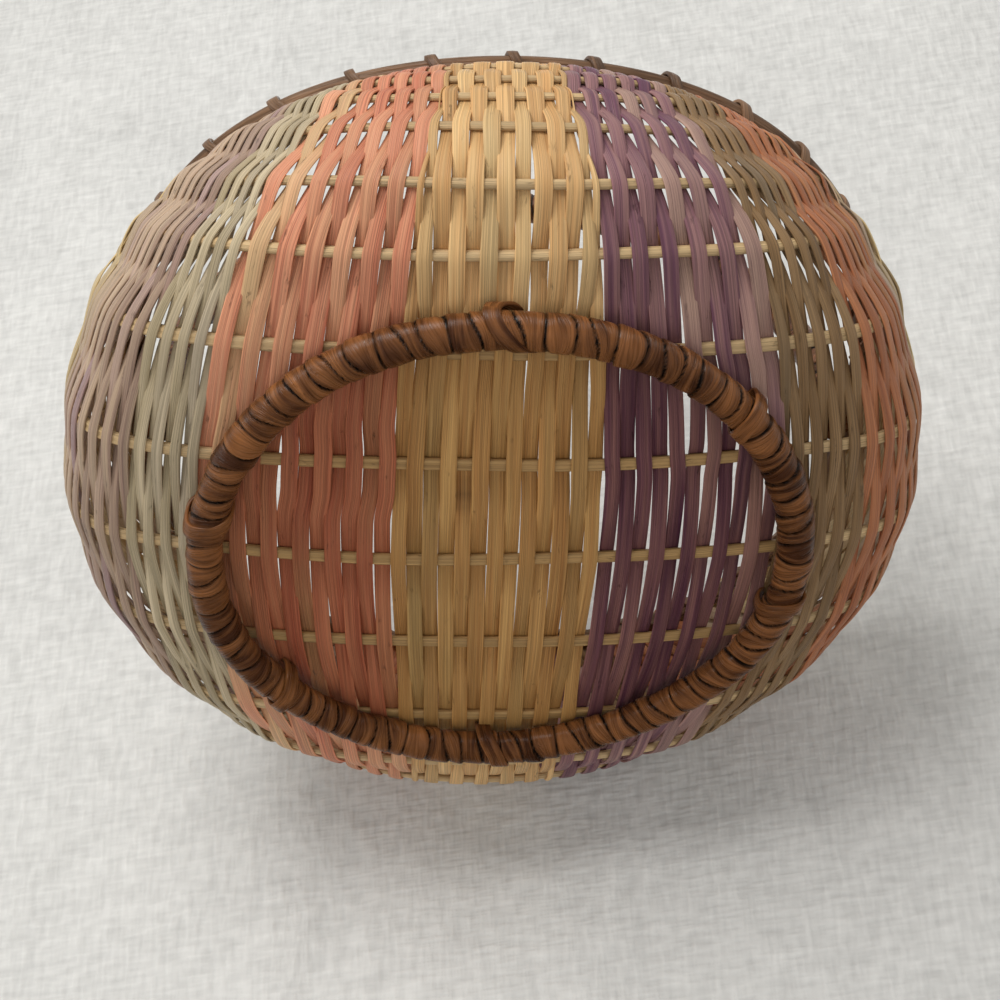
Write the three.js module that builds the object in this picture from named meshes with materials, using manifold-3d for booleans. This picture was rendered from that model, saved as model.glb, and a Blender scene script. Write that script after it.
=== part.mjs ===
// A round handled basket of split bamboo. The wall is woven from flat strips in
// dyed bands, which run from one side of the rim under the base to the other,
// over thin rods that cross them. It stands on a ring of cane wrapped with
// rattan peel, its rim is a pair of hoops lashed with peel, and a wrapped bow
// handle rises from two opposite sides of the rim.
//
// Millimetres, +Z up, origin at the centre of the foot ring's flat underside.
// The strips run along Y and the rods along X where they cross the base.
import * as THREE from 'three';
import Module from 'manifold-3d';

const wasm = await Module();
wasm.setup();

// Foot ring.
const footRadius = 78;
const footCane = 4.5;
const peel = 0.6;
const footTurns = 84;
const wrapSides = 6;

// Bowl, measured on the outside of its wall.
const seatGap = 0.35;
const seatSlope = THREE.MathUtils.degToRad(10);
const baseSag = 5.2;
const bellyRadius = 118;
const bellyHeight = 56;
const bellyFullness = 0.8;
const rimRadius = 104;
const rimHeight = 80;
const shoulderFullness = 0.5;
const wallThickness = 0.9;

// Edges of the dyed bands where they cross the middle of the base, as shares of the
// wall's length from there to the rim. On the left the coral ends just beyond the foot
// ring's middle, and on the right the purple ends just inside it.
const slit = 0.4;
const naturalLeftShare = 0.168;
const coralBeyondFoot = 2;
const greenLeftShare = 0.564;
const purpleLeftShare = 0.748;
const naturalRightShare = 0.148;
const purpleInsideFoot = 4;
const greenRightShare = 0.558;
const coralRightShare = 0.759;
const sideMargin = 2.4;

// The strips draw together towards the rim, except the outermost: at this share of the
// wall's length from the middle rod they would have half their spacing.
const halfSpacingShare = 1.16;
const outermost = 8;

// Cross rods inside the strips. One rod runs on each side of the foot ring, and the
// others are at shares of the wall's length.
const rodRadius = 1.5;
const rodGap = 0.9;
const rodInnerShare = 0.184;
const rodInsideFoot = 12;
const rodOutsideFoot = 14.3;
const rodOuterShares = [0.626, 0.72, 0.786, 0.828, 0.871, 0.915];
const rodEndMargin = 12;

// See-through slits, where neighbouring strips part between their crossings.
const openingWidth = 1.6;
const openingMargin = 7;

// Rim hoops and their lashing.
const hoopHeight = 5.2;
const outerHoopThickness = 3;
const innerHoopThickness = 2.6;
const hoopRise = 1.2;
const touchGap = 0.3;
const lashPeelWidth = 2.6;
const lashPeelThickness = 0.9;
const lashesPerSide = 16;
const lashGap = 0.95;
const lashClearance = 0.35;

// Bow handle. The rise is from the rim to the middle of the handle's crown.
const handleCane = 4.2;
const handleRise = 92;
const handleLeg = 20;
const handleTurns = 56;
const bindTurns = 3;
const bindPeelWidth = 2.4;
const bindPeelThickness = 0.9;
const bindPitch = 3.2;
const bindGap = 1.1;
const bindSlant = THREE.MathUtils.degToRad(45);
const lashBay = THREE.MathUtils.degToRad(8);

// Ties that bind the foot ring to the base.
const tieRadius = 0.9;

// The foot ring's section has a level side below, on which it stands.
const footWrapRadius = footCane + peel;
const footCentreHeight = footWrapRadius * Math.cos(Math.PI / wrapSides);

const dye = {
  natural: 0xc9a86a,
  coral: 0xc97a5c,
  green: 0x8f8665,
  purple: 0x6a4a68,
};
const bamboo = new THREE.MeshStandardMaterial({ color: 0xbfa066, roughness: 0.6, metalness: 0 });
const rattan = new THREE.MeshStandardMaterial({ color: 0x6b4128, roughness: 0.45, metalness: 0 });

const group = new THREE.Group();

function addMesh(name, geometry, material) {
  const mesh = new THREE.Mesh(geometry, material);
  mesh.name = name;
  group.add(mesh);
}

// The bowl's outside profile, from the middle of the base out and up to the rim. It
// rests on the nearest corner of the foot ring's section.
function bowlProfile() {
  const reach = footWrapRadius * Math.cos(Math.PI / wrapSides - seatSlope) + seatGap;
  const seat = new THREE.Vector2(
    footRadius - reach * Math.sin(seatSlope),
    footCentreHeight + reach * Math.cos(seatSlope),
  );
  const belly = new THREE.Vector2(bellyRadius, bellyHeight);
  const rim = new THREE.Vector2(rimRadius, rimHeight);
  const out = (belly.x - seat.x) * bellyFullness;
  const down = (belly.y - seat.y) * bellyFullness;
  const bottom = seat.y - baseSag;
  const profile = new THREE.CurvePath();
  profile.add(new THREE.QuadraticBezierCurve(
    new THREE.Vector2(0, bottom),
    new THREE.Vector2(seat.x - baseSag / Math.tan(seatSlope), bottom),
    seat,
  ));
  profile.add(new THREE.CubicBezierCurve(
    seat,
    new THREE.Vector2(seat.x + out, seat.y + out * Math.tan(seatSlope)),
    new THREE.Vector2(belly.x, belly.y - down),
    belly,
  ));
  profile.add(new THREE.QuadraticBezierCurve(
    belly,
    new THREE.Vector2(belly.x, belly.y + (rim.y - belly.y) * shoulderFullness),
    rim,
  ));
  return profile;
}

// The profile as a table of distance along the wall, radius and height.
const profileSteps = 160;
const table = [];
for (const point of bowlProfile().getPoints(profileSteps)) {
  const last = table.at(-1);
  const along = last ? last.along + Math.hypot(point.x - last.x, point.y - last.y) : 0;
  table.push({ along, x: point.x, y: point.y });
}
const wallLength = table.at(-1).along;

// Radius, height and outward direction of the profile at a distance along it.
// Beyond the rim the profile goes on straight.
function profileAt(along) {
  let i = 1;
  while (i < table.length - 1 && table[i].along < along) i += 1;
  const a = table[i - 1];
  const b = table[i];
  const part = (along - a.along) / (b.along - a.along);
  const dx = (b.x - a.x) / (b.along - a.along);
  const dy = (b.y - a.y) / (b.along - a.along);
  return {
    x: a.x + (b.x - a.x) * part,
    y: a.y + (b.y - a.y) * part,
    outX: dy,
    outY: -dx,
  };
}

// A point on the bowl. (u, v) are the place on the wall laid out flat round the
// middle of the base, and lift is the distance outside the wall's outer face.
function onBowl(u, v, lift) {
  const along = Math.hypot(u, v);
  const p = profileAt(along);
  const angle = Math.atan2(v, u);
  const radius = p.x + p.outX * lift;
  return new THREE.Vector3(radius * Math.cos(angle), radius * Math.sin(angle), p.y + p.outY * lift);
}

// The same, by angle round the axis and distance along the profile.
function onBowlPolar(angle, along, lift) {
  return onBowl(along * Math.cos(angle), along * Math.sin(angle), lift);
}

// Six times the volume inside a closed set of triangles, below zero where they
// face inwards.
function signedVolume(points, triangles) {
  let sum = 0;
  for (let i = 0; i < triangles.length; i += 3) {
    const [a, b, c] = [points[triangles[i]], points[triangles[i + 1]], points[triangles[i + 2]]];
    sum += a.dot(b.clone().cross(c));
  }
  return sum;
}

function meshFrom(points, triangles) {
  if (signedVolume(points, triangles) < 0) triangles.reverse();
  const geometry = new THREE.BufferGeometry();
  geometry.setAttribute('position', new THREE.Float32BufferAttribute(points.flatMap((p) => p.toArray()), 3));
  geometry.setIndex(triangles);
  geometry.computeVertexNormals();
  return geometry;
}

// A closed tube through rings of points, with flat ends. Each ring has the same
// number of points, in order round the tube, seen against its run.
function loft(rings) {
  const sides = rings[0].length;
  const points = rings.flat();
  const triangles = [];
  for (let i = 0; i < rings.length - 1; i += 1) {
    for (let j = 0; j < sides; j += 1) {
      const a = i * sides + j;
      const b = i * sides + ((j + 1) % sides);
      triangles.push(a, b, b + sides, a, b + sides, a + sides);
    }
  }
  const last = (rings.length - 1) * sides;
  for (let j = 1; j < sides - 1; j += 1) {
    triangles.push(0, j + 1, j);
    triangles.push(last, last + j, last + j + 1);
  }
  return meshFrom(points, triangles);
}

// A band of strips: a curved sheet of one wall thickness between two lines that
// run over the base from rim to rim. Its rows lie closer together towards the rim.
// Along each line inside the band the strips part at every fourth row, and from line
// to line the slits are staggered, as in the weave.
const baseColumn = 14;
const wallColumn = 7.5;
const rimColumn = 10;
const bandRows = 26;
const rowCrowding = 0.25;

// Where a strip lies across the bowl at a distance v from the middle rod.
function stripAt(start, v) {
  const drawn = 1 - 1 / (1 + (v / (halfSpacingShare * wallLength)) ** 2);
  return start * (1 - drawn * (1 - (start / wallLength) ** outermost));
}

// The distance from the middle rod at which a strip meets the rim.
function stripReach(start) {
  let reach = wallLength;
  for (let i = 0; i < 40; i += 1) reach = Math.sqrt(wallLength ** 2 - stripAt(start, reach) ** 2);
  return reach;
}

// The angle round the rim at which a strip meets it, from the middle rod's end.
function rimAngle(start) {
  const reach = stripReach(start);
  return Math.atan2(stripAt(start, reach), reach);
}

function bandSheet(from, to) {
  const overBase = Math.abs(from + to) / 2 < footRadius;
  const rimSpan = (rimAngle(to) - rimAngle(from)) * rimRadius;
  const acrossBase = (to - from) / (overBase ? baseColumn : wallColumn);
  const columns = Math.ceil(Math.max(acrossBase, rimSpan / rimColumn));
  const placeAt = (i, j) => {
    const start = from + ((to - from) * i) / columns;
    const row = (2 * j) / bandRows - 1;
    const v = stripReach(start) * (row + rowCrowding * (row - row ** 3));
    return { u: stripAt(start, v), v };
  };
  const clearOfRim = ({ u, v }) => Math.hypot(u, v) < wallLength - hoopHeight - openingMargin;
  const parts = (i, j) => i > 0 && i < columns && (j + 2 * i) % 4 === 2
    && clearOfRim(placeAt(i, j - 1)) && clearOfRim(placeAt(i, j + 1));

  // Each place has a point on the outer face and the next one in number on the inner
  // face, and where the strips part it has such a pair on each side of the slit.
  const points = [];
  const addPair = ({ u, v }, aside) => {
    points.push(onBowl(u + aside, v, 0), onBowl(u + aside, v, -wallThickness));
    return points.length - 2;
  };
  const left = [];
  const right = [];
  for (let i = 0; i <= columns; i += 1) {
    left.push([]);
    right.push([]);
    for (let j = 0; j <= bandRows; j += 1) {
      const place = placeAt(i, j);
      const aside = parts(i, j) ? openingWidth / 2 : 0;
      left[i][j] = addPair(place, -aside);
      right[i][j] = aside ? addPair(place, aside) : left[i][j];
    }
  }
  const triangles = [];
  const quad = (a, b, c, d) => triangles.push(a, b, c, a, c, d);
  const wall = (a, b) => quad(a, b, b + 1, a + 1);
  for (let i = 0; i <= columns; i += 1) {
    for (let j = 0; j < bandRows; j += 1) {
      const slitHere = parts(i, j) || parts(i, j + 1);
      if (i === columns || slitHere) wall(left[i][j], left[i][j + 1]);
      if (i === 0 || slitHere) wall(right[i][j + 1], right[i][j]);
      if (i === columns) continue;
      const [a, b, c, d] = [right[i][j], right[i][j + 1], left[i + 1][j + 1], left[i + 1][j]];
      quad(a, b, c, d);
      quad(a + 1, d + 1, c + 1, b + 1);
    }
    if (i === columns) continue;
    wall(right[i][0], left[i + 1][0]);
    wall(left[i + 1][bandRows], right[i][bandRows]);
  }
  return meshFrom(points, triangles);
}

// A cross rod, round in section, just inside the strips.
const rodSides = 5;
const rodStep = 24;

function rod(v) {
  const reach = Math.sqrt((wallLength - rodEndMargin) ** 2 - v ** 2);
  const steps = Math.ceil((2 * reach) / rodStep);
  const depth = wallThickness + rodGap + rodRadius;
  const rings = [];
  for (let i = 0; i <= steps; i += 1) {
    const u = reach * ((2 * i) / steps - 1);
    const centre = onBowl(u, v, -depth);
    const out = onBowl(u, v, 0).sub(centre).normalize();
    const ahead = onBowl(u + 1, v, -depth).sub(onBowl(u - 1, v, -depth)).normalize();
    const side = new THREE.Vector3().crossVectors(ahead, out).normalize();
    const ring = [];
    for (let k = 0; k < rodSides; k += 1) {
      const turn = (2 * Math.PI * (k + 0.5)) / rodSides;
      ring.push(centre.clone()
        .addScaledVector(out, rodRadius * Math.cos(turn))
        .addScaledVector(side, -rodRadius * Math.sin(turn)));
    }
    rings.push(ring);
  }
  return loft(rings);
}

// Peel wound round a cane: one helical ridge with a groove behind it. centreAt
// gives the cane's centre and the two directions across it at a share of its run.
const grooveDepth = 0.7;

function wrapPoint(frameAt, share, turn, radius) {
  const frame = frameAt(share);
  return frame.centre.clone()
    .addScaledVector(frame.across, radius * Math.cos(turn))
    .addScaledVector(frame.up, radius * Math.sin(turn));
}

// The corners of the winding's section, from a first one.
function wrapTurn(side, first) {
  return (2 * Math.PI * (side + first)) / wrapSides;
}

// A wound ring that closes on itself. The two lowest corners of its section lie on the
// floor in ridge and groove alike, so that it stands on one flat band.
function woundRing(turns, radius, frameAt) {
  const count = turns * wrapSides;
  const lowest = 0.01 - Math.cos(Math.PI / wrapSides);
  const points = [];
  for (let k = 0; k < count; k += 1) {
    const turn = wrapTurn(k, 0);
    const ridge = wrapPoint(frameAt, k / count, turn, radius);
    const groove = wrapPoint(frameAt, (k + wrapSides / 2) / count, turn, radius - grooveDepth);
    if (Math.sin(turn) < lowest) [ridge, groove].forEach((point) => point.setZ(0));
    points.push(ridge, groove);
  }
  const ridge = (k) => 2 * (k % count);
  const groove = (k) => ridge(k) + 1;
  const triangles = [];
  const quad = (a, b, c, d) => triangles.push(a, b, c, a, c, d);
  for (let k = 0; k < count; k += 1) {
    quad(ridge(k), ridge(k + 1), groove(k + 1), groove(k));
    quad(groove(k), groove(k + 1), ridge(k + 1 + wrapSides), ridge(k + wrapSides));
  }
  return meshFrom(points, triangles);
}

// A wound length with plain round ends.
function woundLength(turns, radius, frameAt) {
  const rings = [];
  const steps = turns * 2;
  for (let i = 0; i <= steps; i += 1) {
    const ring = [];
    const deep = i % 2 === 0 ? grooveDepth : 0;
    for (let k = 0; k < wrapSides; k += 1) {
      const lead = i > 0 && i < steps ? k / wrapSides - 0.5 : 0;
      ring.push(wrapPoint(frameAt, (i + lead) / steps, wrapTurn(k, 0.5), radius - deep));
    }
    rings.push(ring);
  }
  return loft(rings);
}

function footFrame(share) {
  const angle = 2 * Math.PI * share;
  return {
    centre: new THREE.Vector3(footRadius * Math.cos(angle), footRadius * Math.sin(angle), footCentreHeight),
    across: new THREE.Vector3(Math.cos(angle), Math.sin(angle), 0),
    up: new THREE.Vector3(0, 0, 1),
  };
}

// A hoop round the wall's edge, with its corners eased on the side away from the
// wall. hidden and open are its two faces' distances outside the wall's outer face.
const hoopSegments = 48;
const hoopEase = 0.9;

function hoopSection(hidden, open) {
  const low = wallLength - hoopHeight + hoopRise;
  const high = wallLength + hoopRise;
  const eased = open - Math.sign(open - hidden) * hoopEase;
  const corners = [
    [low, hidden],
    [low, eased],
    [low + hoopEase, open],
    [high - hoopEase, open],
    [high, eased],
    [high, hidden],
  ];
  if (open < hidden) corners.reverse();
  return corners.map(([along, lift]) => {
    const p = profileAt(along);
    return new THREE.Vector2(p.x + p.outX * lift, p.y + p.outY * lift);
  });
}

function hoop(section) {
  const lathe = new THREE.LatheGeometry([...section, section[0]], hoopSegments);
  lathe.rotateX(Math.PI / 2);
  return lathe;
}

// Flat peel bent along a path. pointAt and outAt give the middle of the peel and
// the direction of its face at a number of turns, and extra is added all round.
function peelTube(path, turns, steps, width, thickness, extra) {
  const small = 0.01;
  const rings = [];
  for (let i = 0; i <= turns * steps; i += 1) {
    const x = i / steps;
    const centre = path.pointAt(x);
    const run = path.pointAt(x + small).sub(path.pointAt(x - small)).normalize();
    const out = path.outAt(x);
    out.addScaledVector(run, -out.dot(run)).normalize();
    const side = new THREE.Vector3().crossVectors(run, out);
    const w = width / 2 + extra;
    const t = thickness / 2 + extra;
    const corners = [[w, t], [-w, t], [-w, -t], [w, -t]];
    rings.push(corners.map(([a, b]) => centre.clone().addScaledVector(side, a).addScaledVector(out, b)));
  }
  return rings;
}

// Least distance between the corners of rings that lie half a turn or more apart.
function leastSelfGap(rings, steps) {
  let least = Infinity;
  for (let i = 0; i < rings.length; i += 1) {
    for (let j = i + steps / 2; j < rings.length; j += 1) {
      for (const a of rings[i]) {
        for (const b of rings[j]) least = Math.min(least, a.distanceTo(b));
      }
    }
  }
  return least;
}

// Round corners for a loop: a squared-off circle with its outward direction.
function squareLoop(x, halfWidth, halfHeight) {
  const turn = 2 * Math.PI * x;
  const ease = (value) => Math.sign(value) * Math.sqrt(Math.abs(value));
  const across = ease(Math.cos(turn));
  const up = ease(Math.sin(turn));
  return {
    across: halfWidth * across,
    up: halfHeight * up,
    outAcross: across ** 3 / halfWidth,
    outUp: up ** 3 / halfHeight,
  };
}

// The rim lashing goes over both hoops and through the wall below them. It comes down
// on the outside, and moves on along the rim mostly while it is on the inside.
const hoopMiddle = wallLength + hoopRise - hoopHeight / 2;
const bundleOuter = touchGap + outerHoopThickness;
const bundleInner = -(wallThickness + touchGap + innerHoopThickness);
const lashSteps = 8;
const lashDrift = 0.8;

function lashPath(start) {
  const loop = (x) => squareLoop(
    0.5 - x,
    (bundleOuter - bundleInner) / 2 + lashGap + lashPeelThickness / 2,
    hoopHeight / 2 + lashGap + lashPeelThickness / 2,
  );
  const middle = (bundleOuter + bundleInner) / 2;
  const angleAt = (x) => {
    const drift = (lashDrift / (2 * Math.PI)) * Math.sin(2 * Math.PI * x);
    return start + ((Math.PI - 2 * lashBay) * (x + drift)) / lashesPerSide;
  };
  const pointAt = (x, lift = 0) => {
    const at = loop(x);
    const across = middle + at.across + at.outAcross * lift;
    const up = hoopMiddle + at.up + at.outUp * lift;
    return onBowlPolar(angleAt(x), up, across);
  };
  return { pointAt, outAt: (x) => pointAt(x, 1).sub(pointAt(x)) };
}

const outerHoop = hoopSection(touchGap, bundleOuter);
const innerHoop = hoopSection(-(wallThickness + touchGap), bundleInner);

// The handle's centreline: up beside the inner hoop, over in half an ellipse and
// down on the other side.
const handleRadius = handleCane + peel;
const legReach = Math.min(...innerHoop.map((corner) => corner.x)) - touchGap - handleRadius;

function handleCurve() {
  const foot = rimHeight - handleLeg;
  const bow = new THREE.CurvePath();
  bow.add(new THREE.LineCurve(new THREE.Vector2(legReach, foot), new THREE.Vector2(legReach, rimHeight)));
  bow.add(new THREE.EllipseCurve(0, rimHeight, legReach, handleRise, 0, Math.PI));
  bow.add(new THREE.LineCurve(new THREE.Vector2(-legReach, rimHeight), new THREE.Vector2(-legReach, foot)));
  return bow;
}

const bow = handleCurve();

function handleFrame(share) {
  const at = bow.getPoint(share);
  const run = bow.getTangent(share);
  return {
    centre: new THREE.Vector3(at.x, 0, at.y),
    across: new THREE.Vector3(0, 1, 0),
    up: new THREE.Vector3(-run.y, 0, run.x),
  };
}

// Each leg is bound to the hoops by a slanting winding, which goes round the leg
// inside and through the wall below the hoops.
function bindPath(side) {
  const outerReach = Math.max(...outerHoop.map((corner) => corner.x));
  const innerReach = legReach - handleRadius;
  const shift = (bindTurns * bindPitch) / 2;
  const margin = bindGap + bindPeelThickness / 2;
  const halfAcross = (outerReach - innerReach) / 2 + margin;
  const halfLong = handleRadius / Math.cos(bindSlant) + shift + margin;
  const middle = onBowl(hoopMiddle, 0, 0).z;
  const pointAt = (x, lift = 0) => {
    const at = squareLoop(x + 0.5, halfAcross, halfLong);
    const long = at.up + at.outUp * lift;
    const sideways = bindPitch * x - shift;
    return new THREE.Vector3(
      side * ((outerReach + innerReach) / 2 + at.across + at.outAcross * lift),
      long * Math.cos(bindSlant) - sideways * Math.sin(bindSlant),
      middle + long * Math.sin(bindSlant) + sideways * Math.cos(bindSlant),
    );
  };
  return { pointAt, outAt: (x) => pointAt(x, 1).sub(pointAt(x)) };
}

// A tie goes over the weave on the inside and down both flanks of the foot ring.
const tieSides = 6;
const tieFootAngle = THREE.MathUtils.degToRad(20);

function tieRings(angle, radius) {
  const reach = footWrapRadius + touchGap + tieRadius;
  const top = profileAt(footRadius).y + wallThickness + touchGap + tieRadius;
  const foot = footCentreHeight - reach * Math.sin(tieFootAngle);
  const footReach = reach * Math.cos(tieFootAngle);
  const slope = Math.sin(seatSlope) * reach;
  const outline = [
    [-footReach, foot],
    [-reach, footCentreHeight],
    [-reach, top - slope - tieRadius],
    [-reach + tieRadius, top - slope],
    [reach - tieRadius, top + slope],
    [reach, top + slope - tieRadius],
    [reach, footCentreHeight],
    [footReach, foot],
  ];
  const direction = new THREE.Vector3(Math.cos(angle), Math.sin(angle), 0);
  const side = new THREE.Vector3(-Math.sin(angle), Math.cos(angle), 0);
  const points = outline.map(([out, z]) => direction.clone().multiplyScalar(footRadius + out).setZ(z));
  return points.map((centre, i) => {
    const before = points[Math.max(i - 1, 0)];
    const after = points[Math.min(i + 1, points.length - 1)];
    const run = after.clone().sub(before).normalize();
    const out = new THREE.Vector3().crossVectors(side, run);
    const ring = [];
    for (let k = 0; k < tieSides; k += 1) {
      const turn = (2 * Math.PI * k) / tieSides;
      ring.push(centre.clone()
        .addScaledVector(out, radius * Math.cos(turn))
        .addScaledVector(side, -radius * Math.sin(turn)));
    }
    return ring;
  });
}

function toSolid(geometry) {
  return new wasm.Manifold(new wasm.Mesh({
    numProp: 3,
    vertProperties: new Float32Array(geometry.attributes.position.array),
    triVerts: new Uint32Array(geometry.index.array),
  }));
}

function fromSolid(solid) {
  const { vertProperties, triVerts } = solid.getMesh();
  const geometry = new THREE.BufferGeometry();
  geometry.setAttribute('position', new THREE.Float32BufferAttribute(vertProperties, 3));
  geometry.setIndex(Array.from(triVerts));
  geometry.computeVertexNormals();
  return geometry;
}

// Windings and ties, with what they need cut out of the wall.
const cutters = [];

function addWinding(name, path, turns, steps, width, thickness) {
  const rings = peelTube(path, turns, steps, width, thickness, 0);
  addMesh(name, loft(rings), rattan);
  cutters.push(toSolid(loft(peelTube(path, turns, steps, width, thickness, lashClearance))));
  console.log(`${name}: least gap to itself ${leastSelfGap(rings, steps).toFixed(2)} mm`);
}

for (const [name, start] of [['rim_lashing_back', lashBay], ['rim_lashing_front', Math.PI + lashBay]]) {
  addWinding(name, lashPath(start), lashesPerSide, lashSteps, lashPeelWidth, lashPeelThickness);
}
for (const [name, side] of [['handle_binding_left', -1], ['handle_binding_right', 1]]) {
  addWinding(name, bindPath(side), bindTurns, lashSteps, bindPeelWidth, bindPeelThickness);
}

const rodFromMiddle = [
  0,
  rodInnerShare * wallLength,
  footRadius - rodInsideFoot,
  footRadius + rodOutsideFoot,
  ...rodOuterShares.map((share) => share * wallLength),
];

// The ties stand in opposite pairs, midway between neighbouring rods.
const tieAngles = [-Math.PI / 2];
for (const [gap, side] of [[1, -1], [0, 1]]) {
  const middle = (rodFromMiddle[gap] + rodFromMiddle[gap + 1]) / 2;
  tieAngles.push(side * Math.asin(middle / footRadius));
}
tieAngles.push(...tieAngles.map((angle) => angle + Math.PI));
tieAngles.forEach((angle, i) => {
  addMesh(`foot_tie_${i + 1}`, loft(tieRings(angle, tieRadius)), rattan);
  cutters.push(toSolid(loft(tieRings(angle, tieRadius + lashClearance))));
});

const edge = wallLength - sideMargin;
const bandEdges = [
  -edge,
  -purpleLeftShare * wallLength,
  -greenLeftShare * wallLength,
  -footRadius - coralBeyondFoot,
  -naturalLeftShare * wallLength,
  naturalRightShare * wallLength,
  footRadius - purpleInsideFoot,
  greenRightShare * wallLength,
  coralRightShare * wallLength,
  edge,
];
const bands = [
  ['strips_natural_left', dye.natural],
  ['strips_purple_left', dye.purple],
  ['strips_green_left', dye.green],
  ['strips_coral_left', dye.coral],
  ['strips_natural_middle', dye.natural],
  ['strips_purple_right', dye.purple],
  ['strips_green_right', dye.green],
  ['strips_coral_right', dye.coral],
  ['strips_natural_right', dye.natural],
];
for (const [i, [name, color]] of bands.entries()) {
  const [from, to] = [bandEdges[i], bandEdges[i + 1]];
  let solid = toSolid(bandSheet(from + slit / 2, to - slit / 2));
  for (const cutter of cutters) solid = solid.subtract(cutter);
  addMesh(name, fromSolid(solid), new THREE.MeshStandardMaterial({ color, roughness: 0.6, metalness: 0 }));
}

rodFromMiddle.forEach((distance, i) => {
  for (const side of i === 0 ? [0] : [-1, 1]) {
    const place = i === 0 ? 'middle' : `${side < 0 ? 'front' : 'back'}_${i}`;
    addMesh(`rod_${place}`, rod(side * distance), bamboo);
  }
});

addMesh('rim_hoop_outer', hoop(outerHoop), rattan);
addMesh('rim_hoop_inner', hoop(innerHoop), rattan);

addMesh('foot_ring', woundRing(footTurns, footWrapRadius, footFrame), rattan);
addMesh('handle', woundLength(handleTurns, handleRadius, handleFrame), rattan);

export default group;
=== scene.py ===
# %% [markdown]
# # A handled basket of dyed split bamboo
#
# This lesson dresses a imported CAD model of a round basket. The real one is woven from
# flat bamboo strips, dyed in bands, over thin bamboo rods. It stands on a cane ring
# wrapped with rattan peel, and its rim is a pair of cane hoops lashed with peel. A bow
# handle, wrapped in the same peel, rises from the rim.
#
# Everything here is worked out with numpy as surfaces: a shape is a grid of points
# computed at once, and Blender only receives the finished arrays. Lengths are in
# millimetres until a mesh is made, because weavers think in millimetres.

# %% Load the fixed frame
import math

import bpy
import numpy as np
from mathutils import Matrix, Vector


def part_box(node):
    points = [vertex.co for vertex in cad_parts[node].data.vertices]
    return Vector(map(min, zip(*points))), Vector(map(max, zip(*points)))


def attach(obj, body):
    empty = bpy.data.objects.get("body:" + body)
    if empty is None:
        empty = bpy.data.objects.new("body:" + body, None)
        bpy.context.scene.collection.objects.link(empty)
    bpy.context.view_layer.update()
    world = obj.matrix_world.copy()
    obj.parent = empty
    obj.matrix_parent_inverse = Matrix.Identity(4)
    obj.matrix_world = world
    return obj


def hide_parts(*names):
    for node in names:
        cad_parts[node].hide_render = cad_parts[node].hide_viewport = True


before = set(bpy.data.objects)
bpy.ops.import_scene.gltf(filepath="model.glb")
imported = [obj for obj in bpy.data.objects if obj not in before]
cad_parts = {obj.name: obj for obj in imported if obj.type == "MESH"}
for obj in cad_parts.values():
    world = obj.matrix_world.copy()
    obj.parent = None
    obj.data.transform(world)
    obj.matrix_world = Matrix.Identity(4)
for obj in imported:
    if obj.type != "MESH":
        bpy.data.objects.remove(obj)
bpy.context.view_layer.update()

MM = 0.001
rng = np.random.default_rng(11)

# %% [markdown]
# ## The bowl's profile
#
# The bowl is close to a surface of revolution: a nearly flat base, a turn at the foot
# ring, a belly, and a shoulder that draws in to the rim. A lathe could make it, but the
# strips need to know where they are on the wall. So the profile is kept as a table of
# distance along the wall against radius and height, and everything else looks places up
# in it. The real rim isn't quite round either, and the table's radius is corrected for it.

# %% Sizes of the bowl
# SEAT, on the foot ring's shoulder, and BELLY are a radius and a height. The faces are
# those of the rim's two hoops, outwards from the wall's middle.
FOOT_RADIUS = 78.0
SEAT = np.array([77.107, 9.481])
SEAT_SLOPE = math.radians(10)
BASE_SAG = 5.2
BELLY = np.array([119.0, 56.0])
BELLY_FULLNESS = 0.8
RIM_RADIUS = 104.4
RIM_HEIGHT = 77.0
SHOULDER_FULLNESS = 0.2
OUTER_FACE, INNER_FACE = 3.7, -3.6
print("foot ring, belly and rim are", 2 * FOOT_RADIUS, 2 * BELLY[0], 2 * RIM_RADIUS, "mm wide")


# %% The profile as a table
def bezier(*points, steps=240):
    """Points of a Bezier curve: the sum of each control point times its binomial
    coefficient, share**i and (1 - share)**(last - i)."""
    share = np.linspace(0.0, 1.0, steps)[:, None]
    last = len(points) - 1
    return sum(
        math.comb(last, i) * share**i * (1 - share) ** (last - i) * np.asarray(point, float)
        for i, point in enumerate(points)
    )


def bowl_profile():
    """Base, belly and shoulder as three Bezier curves. At the seat on the foot ring both
    neighbours slope by SEAT_SLOPE, and at the belly both are upright."""
    low = SEAT[1] - BASE_SAG
    out, down = (BELLY - SEAT) * BELLY_FULLNESS
    base = bezier((0, low), (SEAT[0] - BASE_SAG / math.tan(SEAT_SLOPE), low), SEAT)
    leave = SEAT + out * np.array([1, math.tan(SEAT_SLOPE)])
    belly = bezier(SEAT, leave, BELLY - np.array([0, down]), BELLY)
    lift = (RIM_HEIGHT - BELLY[1]) * SHOULDER_FULLNESS
    top = bezier(BELLY, BELLY + np.array([0, lift]), (RIM_RADIUS, RIM_HEIGHT))
    return np.vstack([base[:-1], belly[:-1], top])


def unit(vectors):
    """Each vector divided by its length."""
    return vectors / np.maximum(np.linalg.norm(vectors, axis=-1, keepdims=True), 1e-12)


def travelled(points):
    """How far along a line each of its points lies: the running sum of the lengths of
    the straight steps between them."""
    return np.r_[0, np.cumsum(np.linalg.norm(np.diff(points, axis=0), axis=1))]


PAST_RIM = 12.0
profile = bowl_profile()
WALL = float(travelled(profile)[-1])
profile = np.vstack([profile, profile[-1] + unit(profile[-1] - profile[-2]) * PAST_RIM])
ALONG = travelled(profile)
slopes = unit(np.gradient(profile, ALONG, axis=0))
print(f"the wall is {WALL:.1f} mm from the middle of the base to the rim")

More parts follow.
